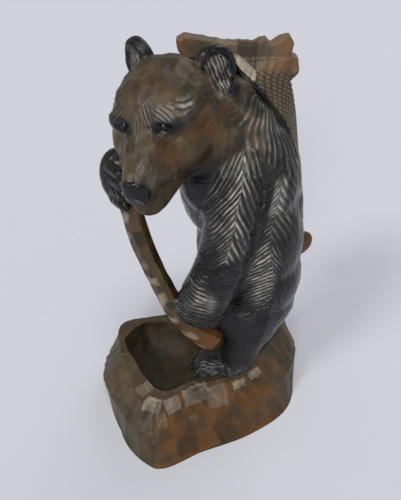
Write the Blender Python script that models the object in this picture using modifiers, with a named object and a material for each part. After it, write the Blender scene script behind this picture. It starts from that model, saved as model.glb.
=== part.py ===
"""A carved wooden bear: it stands upright on a hollowed block, grips a bent stave in front of it
and carries a salmon on its back. Bear, fish, stave and block are one piece of wood; the two eyes
are glass beads.

The bear looks along -X with its left side towards -Y, its head turned to its left, +Z up.
Sizes below are millimetres; MM turns them into metres. The finished part stands on z = 0 with
its origin under the middle of its box.
"""
import bpy
import bmesh
import numpy as np
from math import cos, sin, pi, radians
from mathutils import Euler, Matrix, Vector

MM = 0.001

# how the wood is worked
VOXEL = 1.2             # mesh size of the fused clay
SMOOTHING = 4           # rounds of smoothing after fusing
TRIANGLES = 9200        # of the finished carving
SMALL_BALL, BIG_BALL = 18, 56      # sides of the balls
BIG_FROM = 22           # radius from which a ball gets the finer sides
BALL_STEP = 3.0         # between the balls of a limb
SEED = 5

# head: skull centre, and how the head is turned
HEAD_AT = (-26, -22, 279)
HEAD_TURN = radians(71)     # from straight ahead towards its left
HEAD_NOD = radians(12)
HEAD_TILT = radians(7)      # left side up

# eyes, in the head's own axes: forward, left, up
EYE_LEFT, EYE_UP = 12, 12
EYE_R = 2.4
EYE_SUNK = 0.9          # bead's middle below the lids
SOCKET_GAP = 0.3

# masses of the body: centre, radii along x, y, z
TORSO = (
    ((20, -3, 224), (43, 38, 51)),      # shoulders and chest
    ((8, -22, 236), (30, 22, 29)),      # left shoulder's top
    ((13, 0, 285), (15, 17, 14)),       # nape, under the tail
    ((29.5, -4, 174), (40.5, 38, 60)),      # belly
    ((35, -3, 142), (37.5, 38, 42)),    # loins
    ((36, -1, 118), (35, 37, 38)),      # rump
    ((31, -22, 108), (25, 20, 34)),     # left thigh
    ((34, 20, 108), (25, 19, 34)),      # right thigh
)
# masses of the head: centre and radii along its own forward, left, up; twice where left isn't 0
SKULL = (
    ((-1, 0, 1), (33, 32, 32)),
    ((12, 0, 11), (23, 26, 22)),        # forehead
    ((25, 14, 12), (9, 11, 8)),         # brows
    ((8, 17, -5), (25, 14.5, 18)),      # cheeks
    ((-10, 12, -14), (20, 17, 18)),     # jowls
    ((31, 10, -10), (18, 10, 14)),      # lips' roots
    ((57.5, 0, -9.5), (6.5, 9, 8.5)),   # nose
)
EAR_AT = (-21, 25, 18)
EAR_WIDE, EAR_HIGH, EAR_RIM = 12.5, 18, 4.2
EAR_FACES = radians(45)     # how far the cup looks out from straight ahead

# limbs: x, y, z, radius at each station
NECK = ((11, -3, 255, 35), (0, -9, 261, 32), (-14, -18, 270, 29))
LEFT_LEG = ((30, -24, 98, 19), (27, -25, 80, 16), (24, -26, 66, 15), (20, -27, 58, 13))
RIGHT_LEG = ((35, 22, 98, 19), (34, 24, 80, 16), (31, 24, 66, 14.5), (28, 24, 58, 13))
LEFT_ARM = ((20, -27, 236, 22), (15, -34, 213, 20), (11, -37, 190, 18.5),
            (4, -38, 165, 18.5), (-3, -38, 146, 19.5))
RIGHT_ARM = ((21, 24, 242, 22), (8, 34, 226, 19), (-7, 38, 212, 16.5), (-26, 28, 218, 15),
             (-43, 10, 226, 14), (-56, -5, 232, 14.5))
# muzzle and lower jaw in the head's axes
MUZZLE = ((24, 0, 5, 15), (38, 0, -2, 12.5), (50, 0, -7, 11), (55, 0, -10, 9.5))
JAW = ((8, 0, -18, 17), (28, 0, -22, 14), (42, 0, -25, 11.5), (49, 0, -25, 9.5))

# feet, from the heel forwards
FOOT_LONG = 42
FOOT_WIDE = 12
FOOT_HIGH = 9
FOOT_Z = 57
HEEL_BEHIND = 10
TOES = 4

# paws: centre, radii, lean; then the first knuckle, the step between knuckles, the fingers' curl
LEFT_PAW = ((-4, -37, 136), (18, 14.5, 21), (0, 20, 0), (-11, -45, 148), (4, 0.3, -7.6), (-15, 4, -4))
RIGHT_PAW = ((-60, -12, 231), (15, 14, 21), (0, -6, 0), (-66, -19, 242), (0.5, -0.5, -7.6), (8, -11, 1))
FINGERS = 4

# salmon: x, y, z, half width, half thickness, turn of the flank about z
SALMON = ((32, 9, 303, 18, 6, 0), (31, 6, 295, 17, 8, -18), (36.5, 6, 285, 16, 8.5, -44),
          (42, 8, 273, 16.5, 9, -62), (46.5, 10, 258, 18.5, 10, -75), (51.5, 12, 236, 20.5, 10.5, -84),
          (56.5, 14, 210, 21.5, 10.5, -88), (60, 14, 180, 20.5, 10.5, -90),
          (61, 14, 155, 18, 10, -90), (60.5, 14, 135, 15, 9, -90), (59, 13, 119, 9.5, 7, -90),
          (57, 13, 109, 4, 4, -90))
FLANK_ROUND = 0.8           # 1 gives an oval section, less a squarer one
# fins: centre, radii, turn
FINS = (((71, 9, 162), (9, 3, 10), (0, 25, 0)), ((61, 36, 200), (5, 8, 13), (0, 0, 0)),
        ((58, 33, 150), (4, 7, 11), (-25, 0, 0)), ((60, -6, 205), (5, 7, 10), (20, 0, 0)))
GILL_Z, GILL_WIDE = 134, 17
# tail fan: its outline x, z, from the left tip over the top to the right and back below
TAIL = ((-22.5, 313.5), (-17, 315), (-8, 314.6), (7.5, 312), (15, 312), (24, 311.5), (32, 314.5),
        (35.5, 310.5), (41, 314), (46.5, 316), (49.5, 311), (48.5, 304.5), (53, 303), (54.5, 294),
        (48, 287), (30, 285), (14, 296), (2, 301), (-9, 302.5), (-17, 307), (-21.5, 310))
TAIL_Y, TAIL_THICK = 11, 12

# stave: x, y, z, half width, half depth
STAVE = ((-57, -20, 262, 6, 5), (-57, -23, 240, 7, 6), (-54, -27, 217, 7.5, 6.5),
         (-49, -28, 190, 8, 6.5), (-42.5, -28, 167, 8, 6.5), (-34, -28, 142, 8.5, 6.5),
         (-25.5, -29, 121, 9, 6.5), (-12, -31, 103, 10, 7), (4, -32, 91, 13, 8))

# block: bottom x, y; belly x, y at BLOCK_MID; top x, y, z
BLOCK_MID = 28
BLOCK = (
    ((-46, -91), (-50, -79), (-53, -62, 50)),
    ((-5, -76), (-8, -60), (-12, -40, 49)),
    ((36, -60), (33, -48), (30, -30, 51)),
    ((70, -36), (68, -22), (55, -4, 57)),
    ((82, -6), (84, 8), (70, 15, 58)),
    ((80, 32), (79, 33), (67, 32, 57)),
    ((20, 50), (20, 49), (18, 44, 55)),
    ((-50, 44), (-52, 42), (-50, 32, 55)),
    ((-88, 24), (-92, 18), (-82, 18, 57)),
    ((-94, -14), (-97, -18), (-77, -16, 54)),
    ((-78, -56), (-80, -50), (-66, -42, 52)),
)
GOUGES = 6                  # gouge edges between two corners of the block
GOUGE_DEPTH = 1.6
STAND_AT = (22, 2, 49)      # middle of the block's top, where the feet stand
# hollow: its mouth's corners, and how it narrows with depth
MOUTH = ((-79, 4), (-60, -32), (-42, -51), (-22, -40), (-8, -27), (-8, 2), (-26, 22), (-60, 24))
HOLLOW_TOP, HOLLOW_FLOOR = 70, 25

# fur: locks down the outside of the arm and thigh
LOCK_PITCH, LOCK_DEPTH = 8.0, 1.3


def head_matrix():
    """The head's own axes (forward, left, up) as a matrix into the bear's."""
    ahead = Vector((-cos(HEAD_TURN), -sin(HEAD_TURN), 0))
    left = Vector((sin(HEAD_TURN), -cos(HEAD_TURN), 0))
    up = Vector((0, 0, 1))
    forward = ahead * cos(HEAD_NOD) - up * sin(HEAD_NOD)
    crown = ahead * sin(HEAD_NOD) + up * cos(HEAD_NOD)
    tilted_left = left * cos(HEAD_TILT) + crown * sin(HEAD_TILT)
    tilted_up = crown * cos(HEAD_TILT) - left * sin(HEAD_TILT)
    turn = Matrix((forward, tilted_left, tilted_up)).transposed()
    return Matrix.Translation(HEAD_AT) @ turn.to_4x4()


HEAD = head_matrix()
HERE = Matrix()


class Clay:
    """Balls and lofts gathered up, to be fused later."""

    def __init__(self):
        self.unit = {}
        for sides in (SMALL_BALL, BIG_BALL):
            ball = bmesh.new()
            bmesh.ops.create_uvsphere(ball, u_segments=sides, v_segments=sides // 2, radius=1)
            self.unit[sides] = (np.array([v.co for v in ball.verts]),
                                [[v.index for v in f.verts] for f in ball.faces])
            ball.free()
        self.points, self.faces, self.count = [], [], 0

    def add(self, points, faces):
        self.points.append(np.asarray(points, float))
        self.faces += [[i + self.count for i in face] for face in faces]
        self.count += len(points)

    def ball(self, at, radii, turn=(0, 0, 0), frame=HERE):
        """An egg, turned about its own middle, in the bear's frame or another."""
        spin = Euler([radians(a) for a in turn]).to_matrix().to_4x4()
        place = np.array(frame @ Matrix.Translation(at) @ spin @ Matrix.Diagonal((*radii, 1)))
        unit, faces = self.unit[BIG_BALL if max(radii) >= BIG_FROM else SMALL_BALL]
        self.add(unit @ place[:3, :3].T + place[:3, 3], faces)

    def limb(self, stations, frame=HERE, step=BALL_STEP):
        """Balls strung along a curve, close enough to read as one tapering limb."""
        p = np.array(stations, float)
        length = np.linalg.norm(np.diff(p[:, :3], axis=0), axis=1).sum()
        for x, y, z, r in smooth_path(stations, max(4, int(length / step))):
            self.ball((x, y, z), (r, r, r), frame=frame)

    def loft(self, rings):
        """A closed skin over rings of equally many points."""
        n, rows = len(rings[0]), len(rings)
        faces = [(j * n + k, j * n + (k + 1) % n, (j + 1) * n + (k + 1) % n, (j + 1) * n + k)
                 for j in range(rows - 1) for k in range(n)]
        faces += [tuple(range(n))[::-1], tuple(range((rows - 1) * n, rows * n))]
        self.add(np.vstack(rings), faces)

    def to_object(self, name, collection):
        mesh = bpy.data.meshes.new(name)
        mesh.from_pydata((np.vstack(self.points) * MM).tolist(), [], self.faces)
        bm = bmesh.new()
        bm.from_mesh(mesh)
        bmesh.ops.recalc_face_normals(bm, faces=bm.faces)
        bm.to_mesh(mesh)
        bm.free()
        obj = bpy.data.objects.new(name, mesh)
        collection.objects.link(obj)
        return obj


def smooth_path(stations, steps):
    """A Catmull-Rom curve through the stations; every column is carried along."""
    p = np.array(stations, float)
    p = np.vstack([2 * p[0] - p[1], p, 2 * p[-1] - p[-2]])
    t = np.linspace(0, len(stations) - 1, steps)
    i = np.minimum(t.astype(int), len(stations) - 2)
    f = (t - i)[:, None]
    a, b, c, d = p[i], p[i + 1], p[i + 2], p[i + 3]
    return 0.5 * (2 * b + (c - a) * f + (2 * a - 5 * b + 4 * c - d) * f ** 2
                  + (3 * b - a - 3 * c + d) * f ** 3)


def smooth_loop(corners, steps):
    """A closed Catmull-Rom curve, cut into equal steps between its corners."""
    p = np.array(corners, float)
    before, after, beyond = np.roll(p, 1, 0), np.roll(p, -1, 0), np.roll(p, -2, 0)
    rows = []
    for f in np.arange(steps) / steps:
        rows.append(0.5 * (2 * p + (after - before) * f
                           + (2 * before - 5 * p + 4 * after - beyond) * f ** 2
                           + (3 * p - before - 3 * after + beyond) * f ** 3))
    return np.stack(rows, 1).reshape(-1, p.shape[1])


def add_foot(clay, leg):
    """A flat sole from the heel forwards, with toes and claws at its front."""
    x, y = leg[-1][:2]
    heel = x + HEEL_BEHIND
    for t in np.linspace(0, 1, 9):
        along = heel - 9 - t * (FOOT_LONG - 19)
        clay.ball((along, y, FOOT_Z), (9, FOOT_WIDE * (0.8 + 0.25 * t), FOOT_HIGH * (1.1 - 0.15 * t)))
    for k in range(TOES):
        side = (k - (TOES - 1) / 2) / (TOES / 2)
        tx, ty, tz = heel - FOOT_LONG + 6 + 4 * side ** 2, y + side * FOOT_WIDE * 0.95, FOOT_Z - 1.5
        clay.ball((tx, ty, tz), (8, 3.9, 6.6))
        clay.limb(((tx - 4, ty, tz + 2, 2.6), (tx - 9, ty, tz - 1, 2.0),
                   (tx - 12.5, ty, tz - 5.5, 1.3)), step=1.2)


def add_paw(clay, at, radii, lean, knuckle, step, curl):
    """A rounded fist; its fingers lie one above another over the stave, each with a claw."""
    clay.ball(at, radii, lean)
    curl = Vector(curl)
    for k in range(FINGERS):
        root = Vector(knuckle) + Vector(step) * k
        tip = root + curl
        clay.limb(((*(root - curl * 0.4), 4.4), (*(root + curl * 0.4), 4.6), (*tip, 3.8)), step=2)
        clay.limb(((*tip, 2.6), (*(tip + curl * 0.35), 1.5)), step=1.2)


def add_ear(clay, side):
    """A cupped ear: a backing plate with a thick rolled rim standing round its front."""
    forward, left, up = EAR_AT
    turn = Matrix.Rotation(side * EAR_FACES, 4, "Z")
    place = HEAD @ Matrix.Translation((forward, side * left, up)) @ turn
    for a in np.radians(np.linspace(-35, 215, 19)):
        clay.ball((0, EAR_WIDE * cos(a) * 0.8, EAR_HIGH * (sin(a) if a > 0 else sin(a) * 0.6) * 0.8),
                  (6.5, EAR_RIM, EAR_RIM), frame=place)
    clay.ball((-3.5, 0, 1), (4, EAR_WIDE * 0.9, EAR_HIGH * 0.9), frame=place)
    clay.ball((-3, 0, -13), (10, EAR_WIDE * 0.95, 12), frame=place)


def add_head(clay):
    for (forward, left, up), radii in SKULL:
        for side in ((1, -1) if left else (1,)):
            clay.ball((forward, side * left, up), radii, frame=HEAD)
    clay.limb(MUZZLE, HEAD, 2.5)
    clay.limb(JAW, HEAD, 2.5)
    for side in (1, -1):
        add_ear(clay, side)


def flank(x, y, z, wide, thick, turn, sides=24):
    """A level section across the fish, wide across its flanks."""
    a = np.linspace(0, 2 * pi, sides, endpoint=False)
    across = wide * np.sign(np.cos(a)) * np.abs(np.cos(a)) ** FLANK_ROUND
    out = thick * np.sign(np.sin(a)) * np.abs(np.sin(a)) ** FLANK_ROUND
    c, s = cos(radians(turn)), sin(radians(turn))
    return np.stack([x + across * c + out * s, y - across * s + out * c, 0 * a + z], 1)


def add_salmon(clay):
    """The fish down the back, head lowest, and its tail fan standing up behind the head."""
    clay.loft([flank(*row) for row in smooth_path(SALMON, 44)])
    for fin in FINS:
        clay.ball(*fin)
    edge = np.array(TAIL, float)
    middle = edge.mean(0)
    rings = []
    for t in (-1, -0.75, 0, 0.75, 1):
        ring = middle + (edge - middle) * (1 - 0.05 * (abs(t) == 1))
        rings.append(np.column_stack([ring[:, 0], np.full(len(ring), TAIL_Y + t * TAIL_THICK / 2),
                                      ring[:, 1]]))
    clay.loft(rings)


def add_stave(clay):
    """A split branch: six flat sides, flaring at its lower end."""
    p = smooth_path(STAVE, 30)
    along = np.gradient(p[:, :3], axis=0)
    along /= np.linalg.norm(along, axis=1)[:, None]
    across = np.cross(along, (0.0, 1.0, 0.0))
    across /= np.linalg.norm(across, axis=1)[:, None]
    depth = np.cross(across, along)
    a = np.radians(np.arange(0, 360, 60) + 12)
    clay.loft([q[:3] + np.outer(np.cos(a) * q[3], u) + np.outer(np.sin(a) * q[4], v)
               for q, u, v in zip(p, across, depth)])


def add_block(clay):
    """The standing block: gouged walls over a round-cornered outline."""
    rng = np.random.default_rng(SEED)
    low, mid, top = (smooth_loop([c[level] for c in BLOCK], GOUGES) for level in range(3))
    n = len(low)
    stand = np.array(STAND_AT, float)
    low = np.column_stack([low, np.zeros(n)])
    mid = np.column_stack([mid, np.full(n, BLOCK_MID)])
    flute = np.where(np.arange(n) % 2 == 0, 0.5, -0.5)

    def worked(ring, amount=1.0):
        out = ring[:, :2] - stand[:2]
        out /= np.linalg.norm(out, axis=1)[:, None]
        depth = GOUGE_DEPTH * amount * (flute + rng.uniform(-0.5, 0.5, n))
        moved = ring.copy()
        moved[:, :2] += out * depth[:, None]
        return moved

    rings = [low - (0, 0, 8), low, worked(0.55 * low + 0.45 * mid), worked(mid),
             worked(0.6 * mid + 0.4 * top), worked(0.25 * mid + 0.75 * top), worked(top, 0.6)]
    rings += [top * (1 - t) + stand * t for t in (0.35, 0.75)]
    clay.loft(rings)


def add_hollow(clay):
    """What is taken out of the block: a bowl that follows its mouth's corners."""
    mouth = smooth_loop(MOUTH, 4)
    middle = mouth.mean(0)
    rings = []
    for t in np.linspace(0, 1, 7):
        shrink = cos(t * pi / 2) ** 0.7 * 0.92 + 0.08
        z = HOLLOW_TOP + (HOLLOW_FLOOR - HOLLOW_TOP) * sin(t * pi / 2) ** 0.8
        ring = middle + (mouth - middle) * shrink
        rings.append(np.column_stack([ring, np.full(len(ring), z)]))
    clay.loft(rings)


def baked(obj):
    """Keeps the object's mesh as its modifiers leave it."""
    graph = bpy.context.evaluated_depsgraph_get()
    mesh = bpy.data.meshes.new_from_object(obj.evaluated_get(graph))
    obj.modifiers.clear()
    obj.data = mesh
    return obj


def modify(obj, kind, **settings):
    made = obj.modifiers.new(kind.title(), kind)
    for key, value in settings.items():
        setattr(made, key, value)
    return made


def to_path(points, stations):
    """Distance of every point from a path, and how far along it (0 to 1) each one lies."""
    path = smooth_path(stations, 24)[:, :3]
    best = np.full(len(points), 1e9)
    along = np.zeros(len(points))
    side = np.zeros((len(points), 3))
    for k, (a, b) in enumerate(zip(path, path[1:])):
        t = np.clip((points - a) @ (b - a) / ((b - a) @ (b - a)), 0, 1)
        away = points - a - t[:, None] * (b - a)
        d = np.linalg.norm(away, axis=1)
        near = d < best
        best[near], along[near], side[near] = d[near], ((k + t) / 23)[near], away[near]
    return best, along, side


def carve(obj):
    """Cuts the broad locks of fur and the mouth into the fused wood."""
    mesh = obj.data
    p = np.empty(len(mesh.vertices) * 3)
    mesh.vertices.foreach_get("co", p)
    p = p.reshape(-1, 3) / MM
    normal = np.empty(len(mesh.vertices) * 3)
    mesh.vertices.foreach_get("normal", normal)
    normal = normal.reshape(-1, 3)
    depth = np.zeros(len(p))
    for limb, spine in ((LEFT_ARM, (0.3, -1, 0)), (LEFT_LEG, (0.5, -1, 0))):
        q = np.array(limb, float)
        d, along, away = to_path(p, q[:, :3])
        length = np.linalg.norm(np.diff(q[:, :3], axis=0), axis=1).sum()
        radius = np.interp(along, np.linspace(0, 1, len(q)), q[:, 3])
        face = np.array(spine) / np.linalg.norm(spine)
        across = away @ np.cross(face, (0, 0, 1.0))
        outside = np.clip((away @ face) / radius * 2.5, 0, 1)
        mask = outside * (d < radius * 1.5) * np.clip((1 - np.abs(along - 0.5) * 2) * 6, 0, 1)
        phase = (along * length - np.abs(across) * 0.8) / LOCK_PITCH
        depth += mask * LOCK_DEPTH * (phase % 1.0)
    head = np.array(HEAD.inverted())
    h = p @ head[:3, :3].T + head[:3, 3]
    for side in (1, -1):
        lips = ((60, 0, -17), (52, side * 9, -16), (40, side * 13, -15), (28, side * 18, -14))
        d = to_path(h, lips)[0]
        depth += 2.2 * np.exp(-(d / 2.2) ** 2)
        d = np.linalg.norm((h - (0, side * EYE_LEFT, EYE_UP))[:, 1:], axis=1)
        depth += 2.6 * np.exp(-(d / 5.5) ** 2) * (h[:, 0] > 20)
        d = np.linalg.norm(h - (63, side * 4, -9), axis=1)
        depth += 1.6 * np.exp(-(d / 2.2) ** 2)
    arc = GILL_Z + 7 * (1 - ((p[:, 1] - SALMON[9][1]) / GILL_WIDE) ** 2)
    on_fish = (p[:, 0] > 60) * (np.abs(p[:, 1] - SALMON[9][1]) < GILL_WIDE)
    depth += on_fish * 1.8 * np.exp(-((p[:, 2] - arc) / 1.8) ** 2)
    p -= normal * depth[:, None]
    mesh.vertices.foreach_set("co", (p * MM).ravel())
    mesh.update()


def saw_flat(obj, height):
    """Saws the underside off level and closes it."""
    bm = bmesh.new()
    bm.from_mesh(obj.data)
    cut = bmesh.ops.bisect_plane(bm, geom=[*bm.verts, *bm.edges, *bm.faces], dist=1e-6,
                                 plane_co=(0, 0, height), plane_no=(0, 0, 1), clear_inner=True)
    rim = [e for e in cut["geom_cut"] if isinstance(e, bmesh.types.BMEdge)]
    bmesh.ops.holes_fill(bm, edges=rim)
    bmesh.ops.triangulate(bm, faces=[f for f in bm.faces if len(f.verts) > 4])
    bmesh.ops.recalc_face_normals(bm, faces=bm.faces)
    bm.to_mesh(obj.data)
    bm.free()


def set_eye(bear, side, name, part, cutters):
    """A bead sunk a little below the lids, in a socket cut to clear it."""
    outside = HEAD @ Vector((80, side * EYE_LEFT, EYE_UP))
    inwards = (HEAD.to_3x3() @ Vector((-1, 0, 0))).normalized()
    hit, at, _, _ = bear.ray_cast(outside * MM, inwards)
    if not hit:
        raise ValueError("no brow in front of the eye")
    middle = Matrix.Translation(at + inwards * EYE_SUNK * MM)
    beads = {}
    for kind, radius, holder in (("socket", EYE_R + SOCKET_GAP, cutters), ("bead", EYE_R, part)):
        bm = bmesh.new()
        bmesh.ops.create_uvsphere(bm, u_segments=14, v_segments=9, radius=radius * MM,
                                  matrix=middle)
        label = name if kind == "bead" else f"{name}_socket"
        mesh = bpy.data.meshes.new(label)
        bm.to_mesh(mesh)
        bm.free()
        beads[kind] = bpy.data.objects.new(label, mesh)
        holder.objects.link(beads[kind])
    beads["bead"].data.materials.append(material("eye_glass", (0.004, 0.004, 0.005), 0.05))
    modify(bear, "BOOLEAN", operation="DIFFERENCE", object=beads["socket"], solver="EXACT")


def material(name, colour, roughness):
    made = bpy.data.materials.new(name)
    made.use_nodes = True
    shader = made.node_tree.nodes["Principled BSDF"]
    shader.inputs["Base Color"].default_value = (*colour, 1)
    shader.inputs["Roughness"].default_value = roughness
    return made


def main():
    for obj in list(bpy.data.objects):
        bpy.data.objects.remove(obj, do_unlink=True)
    part = bpy.data.collections.new("wooden_bear")
    cutters = bpy.data.collections.new("cutters")
    for collection in (part, cutters):
        bpy.context.scene.collection.children.link(collection)

    scoop = Clay()
    add_hollow(scoop)
    hollow = scoop.to_object("hollow", cutters)
    rough = Clay()
    add_block(rough)
    block = rough.to_object("block", cutters)
    modify(block, "BOOLEAN", operation="DIFFERENCE", object=hollow)
    baked(block)

    clay = Clay()
    for at, radii in TORSO:
        clay.ball(at, radii)
    for stations in (NECK, LEFT_LEG, RIGHT_LEG, LEFT_ARM, RIGHT_ARM):
        clay.limb(stations)
    for leg in (LEFT_LEG, RIGHT_LEG):
        add_foot(clay, leg)
    for paw in (LEFT_PAW, RIGHT_PAW):
        add_paw(clay, *paw)
    add_head(clay)
    add_salmon(clay)
    add_stave(clay)
    bear = clay.to_object("carved_bear", part)
    joined = bmesh.new()
    joined.from_mesh(bear.data)
    joined.from_mesh(block.data)
    joined.to_mesh(bear.data)
    joined.free()

    modify(bear, "REMESH", mode="VOXEL", voxel_size=VOXEL * MM)
    modify(bear, "SMOOTH", factor=0.5, iterations=SMOOTHING)
    baked(bear)
    carve(bear)
    full = sum(len(p.vertices) - 2 for p in bear.data.polygons)
    modify(bear, "DECIMATE", ratio=TRIANGLES / full)
    baked(bear)
    saw_flat(bear, 0)
    bear.data.materials.clear()
    bear.data.materials.append(material("stained_wood", (0.045, 0.03, 0.02), 0.38))
    low = np.min([v.co for v in bear.data.vertices], axis=0)
    high = np.max([v.co for v in bear.data.vertices], axis=0)
    for side, name in ((1, "eye_left"), (-1, "eye_right")):
        set_eye(bear, side, name, part, cutters)
    to_origin = Matrix.Translation((-(low[0] + high[0]) / 2, -(low[1] + high[1]) / 2, 0))
    for obj in bpy.data.objects:
        obj.data.transform(to_origin)
    for obj in cutters.objects:
        obj.hide_render = True
        obj.display_type = "WIRE"
    print("size", high - low, "moved by", to_origin.translation)
    print("fused", full, "triangles", sum(len(p.vertices) - 2 for p in bear.data.polygons))
    return to_origin.translation


if __name__ == "__main__":
    main()
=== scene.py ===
# Carved wooden bear with a salmon on its back, on the hollowed block it was cut from.
# Sizes in the dictionaries are millimetres in the carving's own frame: the bear looks along -X,
# its left side is towards -Y, and the point between its feet is x = y = 0.
from itertools import product
from math import cos, sin, pi, radians
import bpy
import numpy as np
from mathutils import Euler, Matrix, Vector


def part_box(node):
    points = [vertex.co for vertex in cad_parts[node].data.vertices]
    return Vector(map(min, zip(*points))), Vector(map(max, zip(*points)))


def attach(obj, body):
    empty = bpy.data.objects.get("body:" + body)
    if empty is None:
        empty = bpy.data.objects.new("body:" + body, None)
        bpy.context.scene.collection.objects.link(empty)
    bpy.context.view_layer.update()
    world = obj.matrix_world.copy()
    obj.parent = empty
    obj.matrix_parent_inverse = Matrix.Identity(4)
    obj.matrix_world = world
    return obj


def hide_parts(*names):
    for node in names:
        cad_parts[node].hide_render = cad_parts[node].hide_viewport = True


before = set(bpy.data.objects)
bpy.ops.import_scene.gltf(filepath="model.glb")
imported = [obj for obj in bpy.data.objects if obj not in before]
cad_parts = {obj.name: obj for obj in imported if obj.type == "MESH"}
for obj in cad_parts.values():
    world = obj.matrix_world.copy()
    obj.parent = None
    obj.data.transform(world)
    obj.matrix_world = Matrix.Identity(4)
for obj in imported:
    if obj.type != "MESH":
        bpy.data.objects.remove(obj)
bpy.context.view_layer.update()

figure = {"height": 321.88, "middle": (-5.915, -18.292)}
lowCorner, highCorner = (np.array(corner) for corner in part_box("carved_bear"))
unit = (highCorner[2] - lowCorner[2]) / figure["height"]      # metres to a millimetre of the dictionaries
origin = (lowCorner + highCorner) / 2 - np.array((*figure["middle"], 0)) * unit
origin[2] = lowCorner[2]
here = Matrix()


def toWorld(points):
    # metres = millimetres * unit + origin
    return np.asarray(points, float) * unit + origin


def fromWorld(points):
    # millimetres = (metres - origin) / unit
    return (np.asarray(points, float) - origin) / unit


def placed(points, matrix):
    # the matrix's turn times each point, plus its place
    turn = np.array(matrix)
    return points @ turn[:3, :3].T + turn[:3, 3]


def sizes(vectors):
    # the length of each row: the root of x^2 + y^2 + z^2
    return np.linalg.norm(vectors, axis=-1)


def smoothPath(stations, steps):
    # Catmull-Rom: between two stations each column is the cubic that passes both and keeps their slopes
    p = np.array(stations, float)
    p = np.vstack([2 * p[0] - p[1], p, 2 * p[-1] - p[-2]])
    t = np.linspace(0, len(stations) - 1, steps)
    i = np.minimum(t.astype(int), len(stations) - 2)
    f = (t - i)[:, None]
    a, b, c, d = p[i], p[i + 1], p[i + 2], p[i + 3]
    return 0.5 * (2 * b + (c - a) * f + (2 * a - 5 * b + 4 * c - d) * f ** 2
                  + (3 * b - a - 3 * c + d) * f ** 3)


def bent(values, power):
    # keeps the sign and raises the size to a power: under 1 a circle turns into a rounded box
    return np.sign(values) * np.abs(values) ** power


def ball(at, radii, turn=(0, 0, 0), axes=here, square=1.0, sides=40):
    # a point at height angle v and round angle u is the middle plus the radii times
    # (cos v cos u, cos v sin u, sin v), each bent by the same power
    v, u = np.meshgrid(np.linspace(-pi / 2 + 0.03, pi / 2 - 0.03, sides // 2),
                       np.linspace(0, 2 * pi, sides, endpoint=False), indexing="ij")
    level = bent(np.cos(v), square)
    points = np.stack([level * bent(np.cos(u), square), level * bent(np.sin(u), square),
                       bent(np.sin(v), square)], -1)
    spin = Euler([radians(a) for a in turn]).to_matrix().to_4x4()
    return placed(points, axes @ Matrix.Translation(at) @ spin @ Matrix.Diagonal((*radii, 1)))


def waysOf(path, upright):
    # at each point of a path: the way ahead, the way across it and the way out from both
    ahead = np.gradient(path[:, :3], axis=0)
    ahead /= sizes(ahead)[:, None]
    across = np.cross(ahead, upright)
    across /= sizes(across)[:, None]
    return ahead, across, np.cross(across, ahead)


def swept(path, across, out, wide, deep):
    # a ring of points at each point of a path: the path plus wide times across plus deep times out
    return path[:, None, :3] + wide[..., None] * across[:, None] + deep[..., None] * out[:, None]


def tube(stations, axes=here, upright=(0, 0.02, 1), square=1.0, sides=36, step=1.5):
    # a profile carried along a path: at each point a ring of half width w and half depth d stands
    # square to the path, and at both ends rings shrink as a quarter circle to close it
    q = np.array(stations, float)
    q = np.column_stack([q, q[:, 3]]) if q.shape[1] == 4 else q
    path = smoothPath(q, max(4, int(sizes(np.diff(q[:, :3], axis=0)).sum() / step)))
    ways = waysOf(path, upright)
    a = np.linspace(0, pi / 2 - 0.05, 6)[1:]
    first, last = (np.column_stack([path[k, :3] + sign * np.outer(np.sin(a), ways[0][k]) * path[k, 3],
                                    np.outer(np.cos(a), path[k, 3:5])]) for k, sign in ((0, -1), (-1, 1)))
    path = np.vstack([first[::-1], path, last])
    _, across, out = (np.vstack([np.repeat(way[:1], len(a), 0), way, np.repeat(way[-1:], len(a), 0)])
                      for way in ways)
    u = np.linspace(0, 2 * pi, sides, endpoint=False)
    return placed(swept(path, across, out, path[:, 3, None] * bent(np.cos(u), square),
                        path[:, 4, None] * bent(np.sin(u), square)), axes)


def ringFaces(rows, columns, start=0):
    # the quads between neighbouring rings, and one cap at each end
    r, c = np.meshgrid(np.arange(rows - 1), np.arange(columns), indexing="ij")
    n = (c + 1) % columns
    quads = np.stack([r * columns + c, r * columns + n, (r + 1) * columns + n, (r + 1) * columns + c], -1)
    caps = [np.arange(columns)[::-1] + start, np.arange(columns) + (rows - 1) * columns + start]
    return (quads.reshape(-1, 4) + start).tolist() + [cap.tolist() for cap in caps]


def linked(name, data):
    # an object for the data, put in the scene
    made = bpy.data.objects.new(name, data)
    bpy.context.scene.collection.objects.link(made)
    return made


def makeMesh(name, surfaces, clay=None):
    # one mesh out of closed rings of points, in millimetres, with any clay already made
    points, faces, count = [], [], 0
    if clay:
        points, count = [pointsOf(clay)], len(clay.data.vertices)
        faces = [face.vertices[:] for face in clay.data.polygons]
    for surface in surfaces:
        points.append(surface.reshape(-1, 3))
        faces += ringFaces(surface.shape[0], surface.shape[1], count)
        count += len(points[-1])
    mesh = bpy.data.meshes.new(name)
    mesh.from_pydata(np.vstack(points).tolist(), [], faces)
    return linked(name, mesh)


def modified(piece, kind, **settings):
    # the piece keeps what the modifier made of it
    made = piece.modifiers.new(kind.title(), kind)
    for key, value in settings.items():
        setattr(made, key, value)
    mesh = bpy.data.meshes.new_from_object(piece.evaluated_get(bpy.context.evaluated_depsgraph_get()))
    piece.modifiers.clear()
    old = piece.data
    piece.data = mesh
    mesh.name = piece.name
    bpy.data.meshes.remove(old)
    return piece


def thinned(piece, triangles):
    # a face of n corners is n - 2 triangles; what is over the number wanted is decimated away
    whole = sum(len(face.vertices) - 2 for face in piece.data.polygons)
    if whole > triangles:
        modified(piece, "DECIMATE", ratio=triangles / whole)
    print(piece.name, len(piece.data.polygons), "faces of", whole)


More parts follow.
